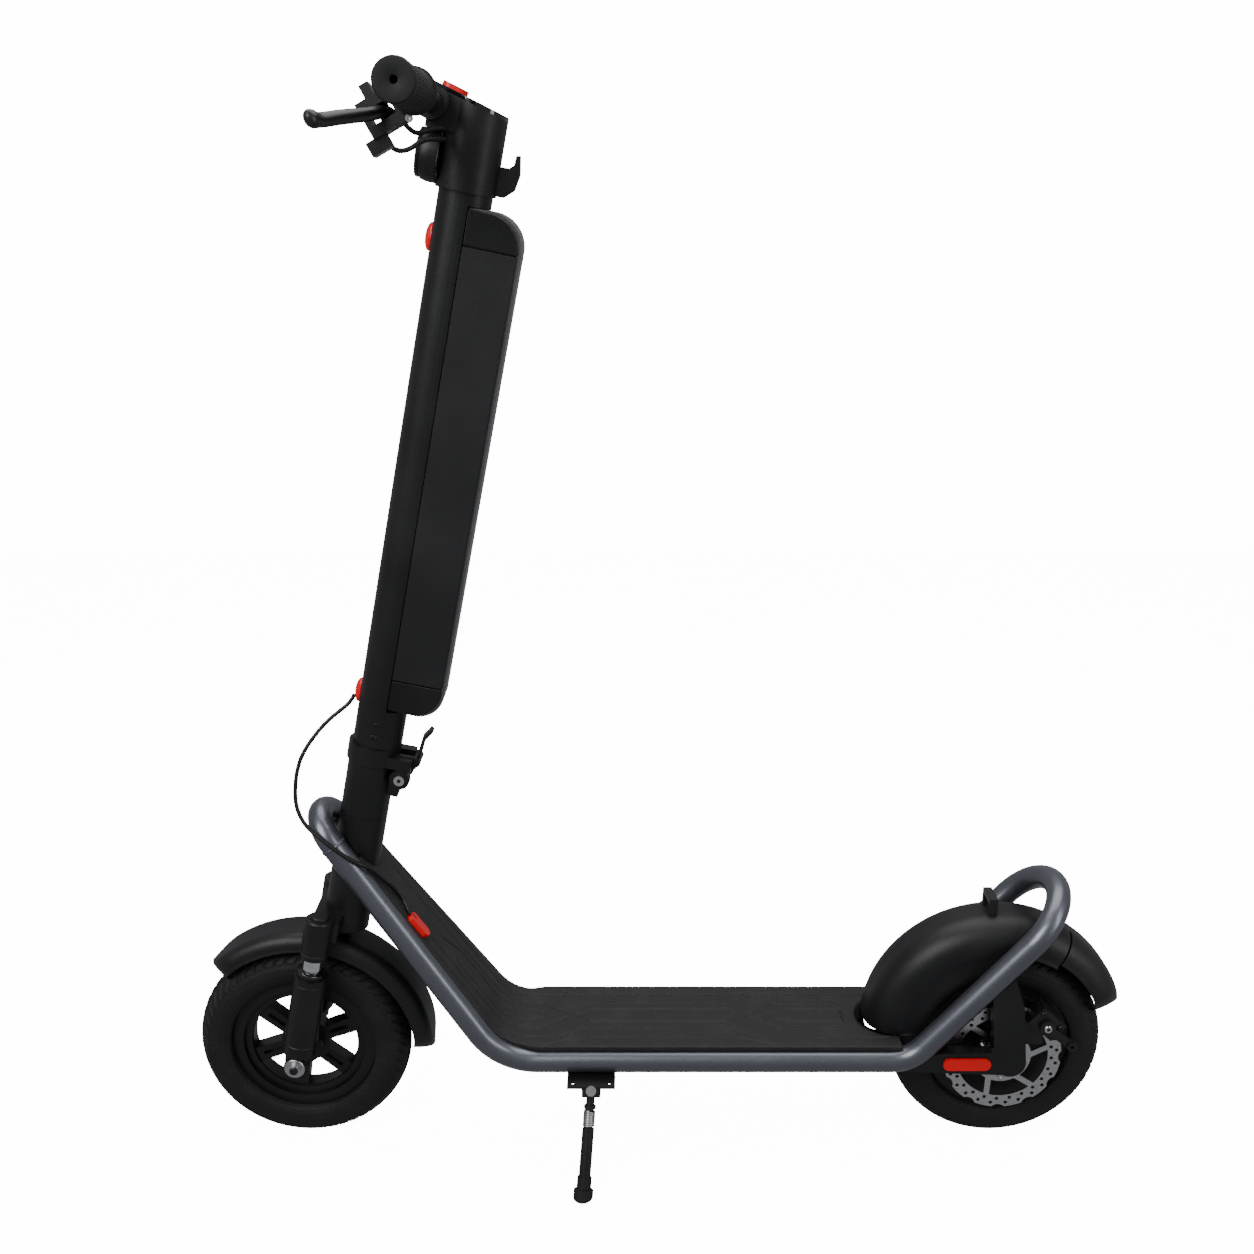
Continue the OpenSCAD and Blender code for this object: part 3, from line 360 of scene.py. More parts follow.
# %% [markdown]
# ## Making meshes from arrays
# Every new piece is a grid of points: rows along one direction, columns along the other. One function
# turns the grid into quads, closes it where it meets itself, and caps open ends.

# %% Grid meshes
def grid_faces(rows, columns, loop_rows=False, loop_columns=True):
    """The corner numbers of the quads between neighbouring rows and columns."""
    row = np.arange(rows if loop_rows else rows - 1)[:, None]
    column = np.arange(columns if loop_columns else columns - 1)[None, :]
    next_row, next_column = (row + 1) % rows, (column + 1) % columns
    corners = [row * columns + column, row * columns + next_column]
    corners += [next_row * columns + next_column, next_row * columns + column]
    return np.stack([corner.ravel() for corner in np.broadcast_arrays(*corners)], axis=1)


def outward(mesh):
    """Turns every face of a closed mesh outwards."""
    import bmesh
    work = bmesh.new()
    work.from_mesh(mesh)
    bmesh.ops.remove_doubles(work, verts=work.verts, dist=1e-7)
    bmesh.ops.recalc_face_normals(work, faces=work.faces)
    work.to_mesh(mesh)
    work.free()


def piece_of(name, body, materials, points, faces, smooth=True):
    """Puts points and faces into a mesh object that rides on a body."""
    mesh = bpy.data.meshes.new(name)
    mesh.from_pydata(np.asarray(points, float).reshape(-1, 3).tolist(), [], [list(face) for face in faces])
    outward(mesh)
    mesh.polygons.foreach_set("use_smooth", [smooth] * len(mesh.polygons))
    for material in materials if isinstance(materials, (list, tuple)) else [materials]:
        mesh.materials.append(material)
    piece = bpy.data.objects.new(name, mesh)
    bpy.context.scene.collection.objects.link(piece)
    if body:
        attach(piece, body)
    return piece


def grid_piece(name, body, material, points, loop_rows=False, loop_columns=True, caps=True,
               smooth=True):
    """A piece from a grid of points, shaped rows by columns by 3."""
    rows, columns = points.shape[:2]
    faces = grid_faces(rows, columns, loop_rows, loop_columns).tolist()
    if caps and not loop_rows:
        faces.append(list(range(columns))[::-1])
        faces.append(list(range((rows - 1) * columns, rows * columns)))
    return piece_of(name, body, material, points, faces, smooth)


def sharp_edges(piece, angle=35):
    """Keeps crisp edges crisp on a smooth-shaded piece."""
    piece.data.set_sharp_from_angle(angle=radians(angle))
    return piece


def turned(origin, axis, radius, height, angles):
    """Points at (radius, height) about an axis through origin: one row for each angle."""
    axis = np.asarray(axis, float) / np.linalg.norm(axis)
    side = np.cross(axis, [1, 0, 0] if abs(axis[0]) < 0.9 else [0, 0, 1])
    side /= np.linalg.norm(side)
    other = np.cross(axis, side)
    spread = np.cos(angles)[..., None] * side + np.sin(angles)[..., None] * other
    return np.asarray(origin) + radius[..., None] * MM * spread + height[..., None] * MM * axis


def lathe(name, body, material, origin, axis, profile, sides=48, angle=35):
    """A closed profile of (radius, height) in millimetres, turned once round the axis."""
    profile = np.asarray(profile, float)
    angles = np.linspace(0, 2 * pi, sides, endpoint=False)[:, None]
    radius, height = (np.broadcast_to(profile[:, k], (sides, len(profile))) for k in (0, 1))
    points = turned(origin, axis, radius, height, np.broadcast_to(angles, radius.shape))
    piece = grid_piece(name, body, material, points, loop_rows=True)
    return sharp_edges(piece, angle)


def smooth_path(points, count):
    """A curve through the points: a natural cubic spline over the length between them."""
    points = np.asarray(points, float)
    knots = np.concatenate([[0], np.cumsum(np.linalg.norm(np.diff(points, axis=0), axis=1))])
    gaps = np.diff(knots)
    slopes = np.diff(points, axis=0) / gaps[:, None]
    system = np.eye(len(points))
    inner = np.arange(1, len(points) - 1)
    system[inner, inner - 1] = gaps[:-1]
    system[inner, inner] = 2 * (gaps[:-1] + gaps[1:])
    system[inner, inner + 1] = gaps[1:]
    right = np.zeros_like(points)
    right[1:-1] = 6 * np.diff(slopes, axis=0)
    bend = np.linalg.solve(system, right)
    where = np.linspace(0, knots[-1], count)
    k = np.clip(np.searchsorted(knots, where) - 1, 0, len(gaps) - 1)
    gap = gaps[k][:, None]
    before, after = (where - knots[k])[:, None], (knots[k + 1] - where)[:, None]
    curve = (bend[k] * after**3 + bend[k + 1] * before**3) / (6 * gap)
    curve += (points[k] / gap - bend[k] * gap / 6) * after
    return curve + (points[k + 1] / gap - bend[k + 1] * gap / 6) * before


def carried(path, wide, thick, up, sides=16):
    """An oval section carried along a path: up is the direction of its thick axis."""
    along = np.gradient(path, axis=0)
    along /= np.linalg.norm(along, axis=1, keepdims=True)
    across = np.cross(along, np.asarray(up, float))
    across /= np.linalg.norm(across, axis=1, keepdims=True)
    lift = np.cross(across, along)
    turn = np.linspace(0, 2 * pi, sides, endpoint=False)
    wide = np.broadcast_to(wide, len(path))[:, None, None]
    thick = np.broadcast_to(thick, len(path))[:, None, None]
    ring = np.cos(turn)[None, :, None] * across[:, None] * wide
    ring = ring + np.sin(turn)[None, :, None] * lift[:, None] * thick
    return path[:, None] + ring * MM


def smoothstep(low, high, value):
    t = np.clip((value - low) / (high - low), 0, 1)
    return t * t * (3 - 2 * t)


def block(name, body, material, corner, size, origin, axes, bevel=1.0):
    """A box with rounded edges. corner and size are in millimetres along axes, from origin."""
    unit = np.array([[x, y, z] for x in (0, 1) for y in (0, 1) for z in (0, 1)], float)
    places = (np.asarray(corner, float) + unit * np.asarray(size, float)) * MM
    faces = [(0, 1, 3, 2), (4, 6, 7, 5), (0, 4, 5, 1), (2, 3, 7, 6), (0, 2, 6, 4), (1, 5, 7, 3)]
    piece = piece_of(name, body, material, origin + places @ np.asarray(axes, float), faces)
    return rounded(piece, bevel)


def rounded(piece, width, steps=3, material=None):
    """Rounds a piece's sharp edges, in millimetres."""
    bevel = piece.modifiers.new("edges", "BEVEL")
    bevel.width, bevel.segments, bevel.limit_method = width * MM, steps, "ANGLE"
    bevel.angle_limit, bevel.harden_normals = radians(40), True
    if material is not None:
        bevel.material = material
    return piece


# %% [markdown]
# ## Bolts
# A socket-head bolt shows as a disc with a bevelled rim and a six-sided pit. Its rings share one count
# of points: a ring's radius is constant on the head, and follows a hexagon in the pit.

# %% Bolts
def bolt(name, body, at, axis, radius, material=bright_bolt, high=2.2):
    sides = 24
    turn = np.linspace(0, 2 * pi, sides, endpoint=False)
    hexagon = cos(pi / 6) / np.cos(turn % (pi / 3) - pi / 6)
    round_ring = np.ones(sides)
    pit = 0.52 * radius
    rings = [(round_ring * radius, -1.5), (round_ring * radius, high - 0.5)]
    rings += [(round_ring * (radius - 0.5), high)]
    rings += [(hexagon * pit, high), (hexagon * pit, high - 1.3), (hexagon * 0.02, high - 1.5)]
    radii = np.stack([ring for ring, _ in rings])
    heights = np.stack([np.full(sides, height) for _, height in rings])
    points = turned(at, axis, radii, heights, np.broadcast_to(turn, radii.shape))
    return sharp_edges(grid_piece(name, body, material, points), 30)


ACROSS = np.array([0.0, 1.0, 0.0])

# %% [markdown]
# ## Tyres
# A tyre is a round section turned about the hub. Its tread is a height taken off the section: two wavy
# grooves run round it and slanted grooves cut the shoulders into blocks. Thin rings mark the sidewall.

# %% Tyres
CROWN_RADIUS = 99.2
TYRE_HALF = 27.8
BEAD = radians(117.5)


def tyre(name, body, node, hub):
    """radius = crown + half * cos(t), across = half * sin(t), less the depth of the grooves."""
    around = np.linspace(0, 2 * pi, 864, endpoint=False)[:, None]
    t = np.linspace(-BEAD, BEAD, 92)[None, :]
    pitch = 54
    wave = radians(2.6) * np.sin(around * pitch)
    ring = np.abs(np.abs(t) - radians(19) + wave)
    grooves = 1.9 * (1 - smoothstep(radians(2.2), radians(3.6), ring))
    centre_cut = np.abs(((around * pitch / (2 * pi) + t * 1.1) % 1) - 0.5) * 2
    centre_cut = 1.1 * (1 - smoothstep(0.10, 0.22, centre_cut)) * (np.abs(t) < radians(16))
    slant = np.abs(((around * pitch / (2 * pi) + np.abs(t) * 1.6) % 1) - 0.5) * 2
    shoulder = smoothstep(radians(23), radians(25), np.abs(t))
    shoulder = shoulder * (1 - smoothstep(radians(56), radians(60), np.abs(t)))
    cuts = 1.7 * (1 - smoothstep(0.16, 0.30, slant)) * shoulder
    below_tread = 0.9 * smoothstep(radians(58), radians(61), np.abs(t))
    rings = sum(0.45 * np.exp(-(((np.abs(t) - radians(a)) / radians(1.2)) ** 2)) for a in (72, 86, 101))
    half = TYRE_HALF - np.maximum(np.maximum(grooves, cuts), centre_cut) - below_tread + rings
    radius = CROWN_RADIUS + half * np.cos(t)
    across = half * np.sin(t)
    points = turned(hub, ACROSS, radius, across, np.broadcast_to(around, radius.shape))
    piece = grid_piece(name, body, tyre_rubber, points, loop_rows=True)
    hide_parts(node)
    return piece


tyres = [
    tyre("tyre_front", "front_wheel", "front_tyre", front_hub),
    tyre("tyre_rear", "rear_wheel", "rear_tyre", rear_hub),
]
print("a tyre has", len(tyres[0].data.polygons), "faces")

# %% [markdown]
# ## Deck mat
# The mat runs flat along the deck, bends up and closes in on the head tube. A point on it has a length
# along this path and a place across it, so the raised pattern is a height above the path. The front end
# is notched round the head tube and the rear end round the fender.

# %% Deck mat
RISE = radians(54.75)
mat_high = np.array(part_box("deck_mat")[1]) / MM
MAT_TOP = 155.2
MAT_HALF = mat_high[1]
BEND_RADIUS = 60
REAR_X = mat_high[0]
BEND_X = REAR_X - (712 - 277.4)
FLAT = REAR_X - BEND_X
BEND = BEND_RADIUS * RISE
RUN = 248
THICK = 5


def on_mat(along, across, high):
    """The mat's path: along is 0 at the rear end and grows to the front; high is square to the mat."""
    turn = np.clip((along - FLAT) / BEND_RADIUS, 0, RISE)
    climb = np.clip(along - FLAT - BEND, 0, None)
    x = REAR_X - np.clip(along, 0, FLAT) - BEND_RADIUS * np.sin(turn) - climb * cos(RISE)
    z = MAT_TOP + BEND_RADIUS * (1 - np.cos(turn)) + climb * sin(RISE)
    x, z = x + high * np.sin(turn), z + high * np.cos(turn)
    return np.stack(np.broadcast_arrays(x, across, z), axis=-1) * MM


def half_width(along):
    """Full on the deck, a little less round the bend, and closing along the front run."""
    closing = np.clip((along - FLAT - BEND) / RUN, 0, 1)
    step = smoothstep(FLAT - 12, FLAT + 12, along)
    return MAT_HALF - 5 * step - 22 * closing


GROOVES = [  # (distance from the rear end, distance from the middle line), on both sides
    [(14, 45), (166, 45), (196, 27), (374, 27), (404, 45), (700, 38)],
    [(100, 60), (150, 60), (190, 45), (378, 45), (420, 61)],
    [(178, 0), (142, 27), (60, 27)],
    [(62, 0), (62, 13), (128, 13), (148, 0)],
    [(186, 0), (202, 13), (366, 13), (382, 0)],
    [(390, 0), (428, 27), (690, 21)],
    [(420, 0), (440, 13), (560, 13), (590, 0)],
]


def mat_grooves(along, across):
    """The distance from each point to the nearest groove line."""
    nearest = np.full(along.shape, 99.0)
    for line in GROOVES:
        for (u0, v0), (u1, v1) in zip(line, line[1:]):
            span = hypot(u1 - u0, v1 - v0)
            run_u, run_v = (u1 - u0) / span, (v1 - v0) / span
            du, dv = along - u0, np.abs(across) - v0
            t = np.clip(du * run_u + dv * run_v, 0, span)
            nearest = np.minimum(nearest, np.hypot(du - t * run_u, dv - t * run_v))
    return nearest


def deck_mat():
    rows, columns = 560, 145
    notch = 43.0
    share = np.linspace(-1, 1, columns)
    u = np.linspace(0, 1, rows)[:, None]
    across_flat = share * (MAT_HALF - 0.4)
    inside = np.clip(1 - (across_flat / notch) ** 2, 0, None)
    start = np.where(np.abs(across_flat) < notch, 3 + notch * np.sqrt(inside), 0.0)
    head = np.clip(1 - (share * 36 / 27.6) ** 2, 0, None)
    end = FLAT + BEND + np.minimum(RUN, 258.1 - 37.8 * np.sqrt(head))
    along = start + (end - start) * u
    half = half_width(along)
    across = share * (half - 0.4)
    groove = 1 - smoothstep(0.6, 1.9, mat_grooves(along, across))
    top = -0.1 - 1.5 * groove - 0.9 * (1 - smoothstep(0.0, 1.6, np.minimum(along - start, end - along)))
    top = top - 0.9 * (1 - smoothstep(0.0, 1.4, half - np.abs(across)))
    under = on_mat(along, across, np.full_like(top, -THICK))[:, ::-6]
    piece = grid_piece("mat", "frame", mat_rubber,
                       np.concatenate([on_mat(along, across, top), under], axis=1))
    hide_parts("deck_mat")
    return sharp_edges(piece, 50)


mat = deck_mat()
print("the mat has", len(mat.data.polygons), "faces")

# %% [markdown]
# ## Cables
# A cable is a round section carried along a spline. The two in front of the stem cross a joint each;
# they ride on no body and stay where they are drawn.

# %% Cables
CABLE = 2.4
STEM_CABLE = [
    [84, -1, 570], [79, -3, 562], [70, -6, 554], [57, -10, 544], [44, -14, 531], [33, -19, 517],
    [24, -24, 501], [19, -28, 484],
]
DECK_CABLE = [
    [19, -28, 484], [17, -31, 466], [18, -35, 450], [24, -40, 435], [34, -44, 423], [46, -48, 414],
    [59, -51, 404], [70, -51, 395.5], [83, -47, 384.5], [94, -42.5, 376.5], [103, -34, 364],
    [115.5, -26, 346.5], [123.5, -22, 335], [131, -24, 324.5], [136.5, -31, 316.5], [143.4, -35, 306.6],
]
BRAKE_CABLE = [
    [171, -121, 1149], [175.5, -110, 1142.5], [180, -99, 1141], [186.5, -85, 1143.5], [191, -71, 1148],
    [196, -58, 1152], [204, -44, 1154], [213, -30, 1154],
]
SWITCH_WIRE = [
    [175, -118, 1176], [181, -107, 1170], [185, -95, 1164], [190, -78, 1158.5], [195, -62, 1159],
    [203, -44, 1163], [212, -29, 1164],
]


def cable(name, node, route, body=None, count=140):
    path = smooth_path(from_axle(route), count)
    points = carried(path, CABLE, CABLE, (1, 0, 0) if body else (0, 1, 0), sides=18)
    piece = grid_piece(name, body, soft_black, points)
    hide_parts(node)
    length = np.linalg.norm(np.diff(path, axis=0), axis=1).sum()
    print(name, "is", round(length / MM), "mm long")
    return piece, path


stem_cord, stem_path = cable("cable_stem", "stem_cable", STEM_CABLE)
deck_cord, deck_path = cable("cable_deck", "deck_cable", DECK_CABLE)
cable("cable_brake", "brake_cable", BRAKE_CABLE, "stem")
cable("cable_switch", "brake_cable", SWITCH_WIRE, "stem")
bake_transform(stem_cord)
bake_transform(deck_cord)

# %% [markdown]
# ## Battery
# The battery is a rounded case with a cap at each end. Its outline is straight lines joined by quarter
# circles, drawn as one flat loop and given a width; a bevel rounds the edge. The shell is a paler grey
# than the cheeks: a painted highlight along the rounded rear edge, where it would catch the light.

# %% Battery
BAY = (570.3, 1116.5)
CAP = 38.0
FRONT_X, REAR_EDGE = 9.3, 69.0
HALF = 24.5


def corner(x, s, radius, first, last, steps=10):
    """A quarter circle round (x, s), between two directions in degrees."""
    turn = np.radians(np.linspace(first, last, steps))
    return np.stack([x + radius * np.cos(turn), s + radius * np.sin(turn)], axis=1)


def slab(name, body, material, outline, half):
    """A flat outline in the steering frame, given a width of half to each side."""
    outline = np.asarray(outline, float)
    count = len(outline)
    left = steered(outline[:, 0], -half, outline[:, 1])
    right = steered(outline[:, 0], half, outline[:, 1])
    faces = [list(range(count)), list(range(2 * count - 1, count - 1, -1))]
    index = np.arange(count)
    nxt = (index + 1) % count
    faces += np.stack([index, nxt, nxt + count, index + count], axis=1).tolist()
    return piece_of(name, body, material, np.concatenate([left, right]), faces)


def battery():
    seam = 0.25
    low_seam, high_seam = BAY[0] + CAP, BAY[1] - CAP
    low_round, high_round = 28, 34
    low_cap = np.concatenate([
        [[FRONT_X, BAY[0]]], corner(REAR_EDGE - low_round, BAY[0] + low_round, low_round, -90, 0),
        [[REAR_EDGE, low_seam - seam], [FRONT_X, low_seam - seam]],
    ])
    high_cap = np.concatenate([
        [[FRONT_X, high_seam + seam], [REAR_EDGE, high_seam + seam]],
        corner(REAR_EDGE - high_round, BAY[1] - high_round, high_round, 0, 90), [[FRONT_X, BAY[1]]],
    ])
    inset = 3.5
    core = np.concatenate([
        [[FRONT_X, BAY[0] + 1]], corner(REAR_EDGE - low_round, BAY[0] + low_round, low_round, -90, 0),
        corner(REAR_EDGE - high_round, BAY[1] - high_round, high_round, 0, 90), [[FRONT_X, BAY[1]]],
    ])
    # The shell shows only along the rear edge between the cheeks; its paler grey is a painted highlight.
    shell = slab("battery_shell", "stem", edge_plastic, core, HALF - 3.2)
    rounded(shell, 2.0, 3)
    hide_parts("battery_case")
    for side, word in ((-1, "left"), (1, "right")):
        cheek = [[FRONT_X, low_seam + seam], [REAR_EDGE - inset, low_seam + seam]]
        cheek += [[REAR_EDGE - inset, high_seam - seam], [FRONT_X, high_seam - seam]]
        plate(f"battery_cheek_{word}", case_plastic, cheek, side)
        for part, outline in (("foot", low_cap), ("top", high_cap)):
            shape = np.array(outline, float)
            middle = np.array([FRONT_X, (BAY[0] + BAY[1]) / 2])
            pulled = np.where(shape[:, :1] > FRONT_X + 1, shape - [inset, 0], shape)
            ends = np.abs(shape[:, 1] - middle[1]) > (BAY[1] - BAY[0]) / 2 - CAP + 4
            pulled[ends, 1] -= inset * 0.7 * np.sign(shape[ends, 1] - middle[1])
            made = plate(f"battery_{part}_{word}", cap_plastic, pulled, side)
            if part == "foot":
                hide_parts("battery_caps")


def plate(name, material, outline, side):
    """A cheek of the battery: a flat outline 5 mm thick, flush with one side."""
    outline = np.asarray(outline, float)
    count = len(outline)
    inner = steered(outline[:, 0], side * (HALF - 5), outline[:, 1])
    outer = steered(outline[:, 0], side * HALF, outline[:, 1])
    index = np.arange(count)
    nxt = (index + 1) % count
    faces = [list(range(count)), list(range(2 * count - 1, count - 1, -1))]
    faces += np.stack([index, nxt, nxt + count, index + count], axis=1).tolist()
    points = np.concatenate([inner, outer])
    return rounded(piece_of(name, "stem", material, points, faces), 1.6, 3)


battery()

# %% [markdown]
# ## Grips
# The grips are turned rubber with a diamond knurl between two plain bands. The knurl is the product of
# two sets of slanted ridges, which leaves small rounded diamonds.

# %% Grips
BAR_HALF = 255.0
GRIP_IN = 145.0


def grip(name, side):
    sides, rows = 144, 170
    turn = np.linspace(0, 2 * pi, sides, endpoint=False)[None, :]
    along = np.linspace(GRIP_IN + 9, BAR_HALF - 9, rows)[:, None]
    ridge_a = np.abs(np.sin(turn * 9 + along * 0.33))
    ridge_b = np.abs(np.sin(turn * 9 - along * 0.33))
    knurl = smoothstep(0.12, 0.45, ridge_a) * smoothstep(0.12, 0.45, ridge_b)
    plain = smoothstep(GRIP_IN + 9, GRIP_IN + 11, along)
    plain = plain * (1 - smoothstep(BAR_HALF - 11, BAR_HALF - 9, along))
    waist = 0.4 * np.sin(np.pi * (along - GRIP_IN) / (BAR_HALF - GRIP_IN))
    body_radius = 17.7 - waist + 0.8 * knurl * plain
    ends_out = [(18.4, 9.0), (18.7, 8.0), (18.8, 3.0), (18.5, 1.4), (17.4, 0.2), (15.5, 0.0)]
    ends_out += [(4.6, 0.0), (3.5, 0.6), (3.25, 1.4), (3.25, 3.0)]
    ends_in = [(11.15, 0.0), (19.2, 0.0), (20.6, 0.6), (20.8, 1.6), (20.6, 3.4), (18.6, 4.4), (18.4, 8.6)]
    radius = np.concatenate([
        np.broadcast_to(np.array([[r] for r, _ in ends_in]), (len(ends_in), sides)), body_radius,
        np.broadcast_to(np.array([[r] for r, _ in ends_out]), (len(ends_out), sides)),
    ])
    height = np.concatenate([
        [[GRIP_IN + a] for _, a in ends_in], along, [[BAR_HALF - a] for _, a in ends_out],
    ])
    height = np.broadcast_to(height, radius.shape)
    points = turned(bar_centre, ACROSS * side, radius, height, np.broadcast_to(turn, radius.shape))
    piece = grid_piece(name, "stem", grip_rubber, points, caps=False)
    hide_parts("grips")
    return sharp_edges(piece, 40)


for name, side in (("grip_left", -1), ("grip_right", 1)):
    grip(name, side)

# %% [markdown]
# ## Brake lever
# The blade is an oval section carried along a curve from the pivot to a round tip. It starts deep and
# narrow beside the clamp and spreads into a flat spoon for two fingers.

# %% Brake lever
def brake_lever():
    route = on_bar(*np.array([(34, -122, 0), (34.5, -136, 0), (39, -152, 0), (50, -178, -2), (66, -208, -6),
                              (75, -224, -8.5), (77.5, -234, -10.5), (78, -241, -11.5)], float).T)
    path = smooth_path(route, 90)
    t = np.linspace(0, 1, 90)
    swell = 1.5 * np.exp(-(((t - 0.93) / 0.05) ** 2))
    ends = np.sqrt(np.clip(1 - (np.clip(t - 0.955, 0, None) / 0.045) ** 2, 0.0004, 1))
    deep = (6.0 + 0.6 * smoothstep(0.2, 0.6, t) + swell) * ends
    slim = (5.8 - 1.2 * smoothstep(0.1, 0.45, t) + 1.4 * swell) * ends
    points = carried(path, slim, deep, lever_down, sides=28)
    piece = grid_piece("lever_blade", "brake_lever", cast_black, points)
    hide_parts("brake_lever")
    pivot = on_bar(34, -128, 0)
    profile = [(0.1, -6.3), (6.0, -6.3), (6.5, -5.8), (6.5, 5.8), (6.0, 6.3), (0.1, 6.3)]
    lathe("lever_boss", "brake_lever", cast_black, pivot, lever_down, profile)


brake_lever()

# %% [markdown]
# ## Fenders
# A fender is one section, a thin wall with round shoulders, swept round the wheel. The wall has a beaded
# lip along its skirts, and a shallow crease along the shoulder of the rear one.

# %% Fenders
def fender_loop(radius, half, shoulder, skirt, wall, crease):
    """The closed section of a fender: (radius, across) along the outside and back along the inside."""
    turn = np.linspace(0, pi / 2, 12)
    side_r = np.linspace(skirt, radius - shoulder, 14)
    outer_r = np.concatenate([side_r, radius - shoulder + shoulder * np.sin(turn[1:])])
    outer_y = np.concatenate([np.full(14, half), half - shoulder + shoulder * np.cos(turn[1:])])
    lip = 1.1 * np.exp(-(((outer_r - skirt - 1.2) / 1.6) ** 2)) * (outer_y > half - 0.5)
    fold = crease * np.exp(-(((outer_r - (radius - shoulder - 2)) / 2.2) ** 2)) * (outer_y > half - 6)
    inner_r = np.concatenate([side_r, radius - shoulder + (shoulder - wall) * np.sin(turn[1:])])
    curved_y = half - shoulder + (shoulder - wall) * np.cos(turn[1:])
    inner_y = np.concatenate([np.full(14, half - wall), curved_y])
    outer_y = outer_y - fold - 0.6 + lip * 0.6
    top = np.linspace(half - shoulder, -(half - shoulder), 9)[1:-1]
    r = np.concatenate([outer_r, np.full(7, radius), outer_r[::-1]])
    y = np.concatenate([outer_y, top, -outer_y[::-1]])
    r_in = np.concatenate([inner_r, np.full(7, radius - wall), inner_r[::-1]])
    y_in = np.concatenate([inner_y, top, -inner_y[::-1]])
    return np.stack([np.concatenate([r, r_in[::-1]]), np.concatenate([y, y_in[::-1]])], axis=1)


def fender(name, body, node, centre_x, centre_z, section, first, last, low_end, high_end, cheek=0.0,
           rows=110):
    """
    The section swept about an axis across the wheel, between two directions in degrees. Each end can
    close in like a tongue over its last few degrees, and the skirts can reach cheek millimetres deeper.
    """
    angle = np.linspace(first, last, rows)[:, None]
    turn = np.radians(angle)
    near_low = np.clip((angle - first) / max(low_end, 0.01), 0.02, 1)
    near_high = np.clip((last - angle) / max(high_end, 0.01), 0.02, 1)
    full = np.sqrt(1 - (1 - near_low) ** 2) * np.sqrt(1 - (1 - near_high) ** 2)
    r, y = section[None, :, 0], section[None, :, 1]
    skirt, shoulder = r.min(), r.max() - 30
    depth = full + cheek / (shoulder - skirt) * smoothstep(84, 104, angle) * (1 - smoothstep(172, 175, angle))
    r = np.where(r < shoulder, shoulder - (shoulder - r) * depth, r)
    r = r - (1 - full) * 10 * (np.abs(y) / np.abs(y).max()) ** 2
    y = y * (0.25 + 0.75 * full)
    x = centre_x + r * np.cos(turn)
    z = centre_z + r * np.sin(turn)
    points = np.stack([x, np.broadcast_to(y, x.shape), z], axis=-1) * MM + [front_hub[0], 0, 0]
    piece = grid_piece(name, body, cover_plastic, points)
    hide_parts(node)
    return sharp_edges(piece, 50)


rear_section = fender_loop(157, 42, 32, 117, 3, 0.6)
tail_section = fender_loop(156, 39, 30, 123, 3, 0.4)
front_section = fender_loop(152, 31, 14, 132, 2.5, 0.0)
fender("fender_rear", "frame", "rear_fender", 830.2, 143, rear_section, 58, 175.2, 0, 0, cheek=25)
fender("fender_rear_tail", "frame", "fender_tail", 830.2, 143, tail_section, 14.5, 57.9, 16, 0)
fender("fender_front", "steering", "front_fender", 4, 127, front_section, -3.5, 136, 14, 14)
block("fender_front_stay", "steering", cover_plastic, (-14, -10, 268), (22, 20, 20),
      steer_foot, (steer_back, ACROSS, steer_axis), 2.0)

# %% [markdown]
# ## Kickstand spring
# The spring is round wire wound in a helix down the leg, with its end turns close together.

# %% Kickstand spring
stand = joints["kickstand_swing"]
stand_pivot = np.array(stand["pos_m"])
foot_low, foot_high = (np.array(place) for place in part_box("kickstand_foot"))
foot_at = [(foot_low[0] + foot_high[0]) / 2, (foot_low[1] + foot_high[1]) / 2, 0.004]
stand_down = np.array(foot_at) - stand_pivot
stand_down /= np.linalg.norm(stand_down)


def kick_spring():
    turns, wire, coil = 9.5, 0.95, 6.1
    t = np.linspace(0, 1, 420)
    height = 24 + 18 * (t + 0.04 * np.sin(2 * pi * t) / pi)
    side = np.cross(stand_down, [1, 0, 0])
    side /= np.linalg.norm(side)
    other = np.cross(stand_down, side)
    turn = 2 * pi * turns * t
    path = stand_pivot + MM * (height[:, None] * stand_down
                               + coil * (np.cos(turn)[:, None] * side + np.sin(turn)[:, None] * other))
    points = carried(path, wire, wire, stand_down, 10)
    piece = grid_piece("stand_spring", "kickstand", bare_steel, points)
    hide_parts("kickstand_spring")


kick_spring()

# %% [markdown]
# ## Welds
# A weld is a low rippled bead. One on each side circles the loop's tube where it meets the head tube.

# %% Welds
def weld(name, origin, axis, radius, bead, material=grey_frame, ripples=40):
    turn = np.linspace(0, 2 * pi, 240, endpoint=False)[:, None]
    section = np.linspace(0, 2 * pi, 12, endpoint=False)[None, :]
    size = bead * (1 + 0.18 * np.abs(np.sin(turn * ripples / 2)))
    r = radius + size * 0.6 * np.cos(section)
    h = size * np.sin(section)
    points = turned(origin, axis, r, h, np.broadcast_to(turn, r.shape))
    return grid_piece(name, "frame", material, points, loop_rows=True)


FRONT_START = 284.6
FRONT_YAW = np.arcsin(26 / 281.2)
bend_end = np.array([FRONT_START - 80.7 * sin(RISE), 0, 134.2 + 80.7 * (1 - cos(RISE))])
run_axis = np.array([-cos(RISE), 0, sin(RISE)])
for side in (-1, 1):
    heading = run_axis * cos(FRONT_YAW) + ACROSS * -side * sin(FRONT_YAW)
    start = bend_end + run_axis * 60 * sin(FRONT_YAW) + ACROSS * side * 60 * cos(FRONT_YAW)
    place = from_axle(start + heading * 277)
    weld(f"weld_loop_{'left' if side < 0 else 'right'}", place, heading, 14, 1.5)

# %% [markdown]
# ## Head and lamp
# The lamp is a bowl turned about the beam, with a small emitter in its middle, behind the clear lens.

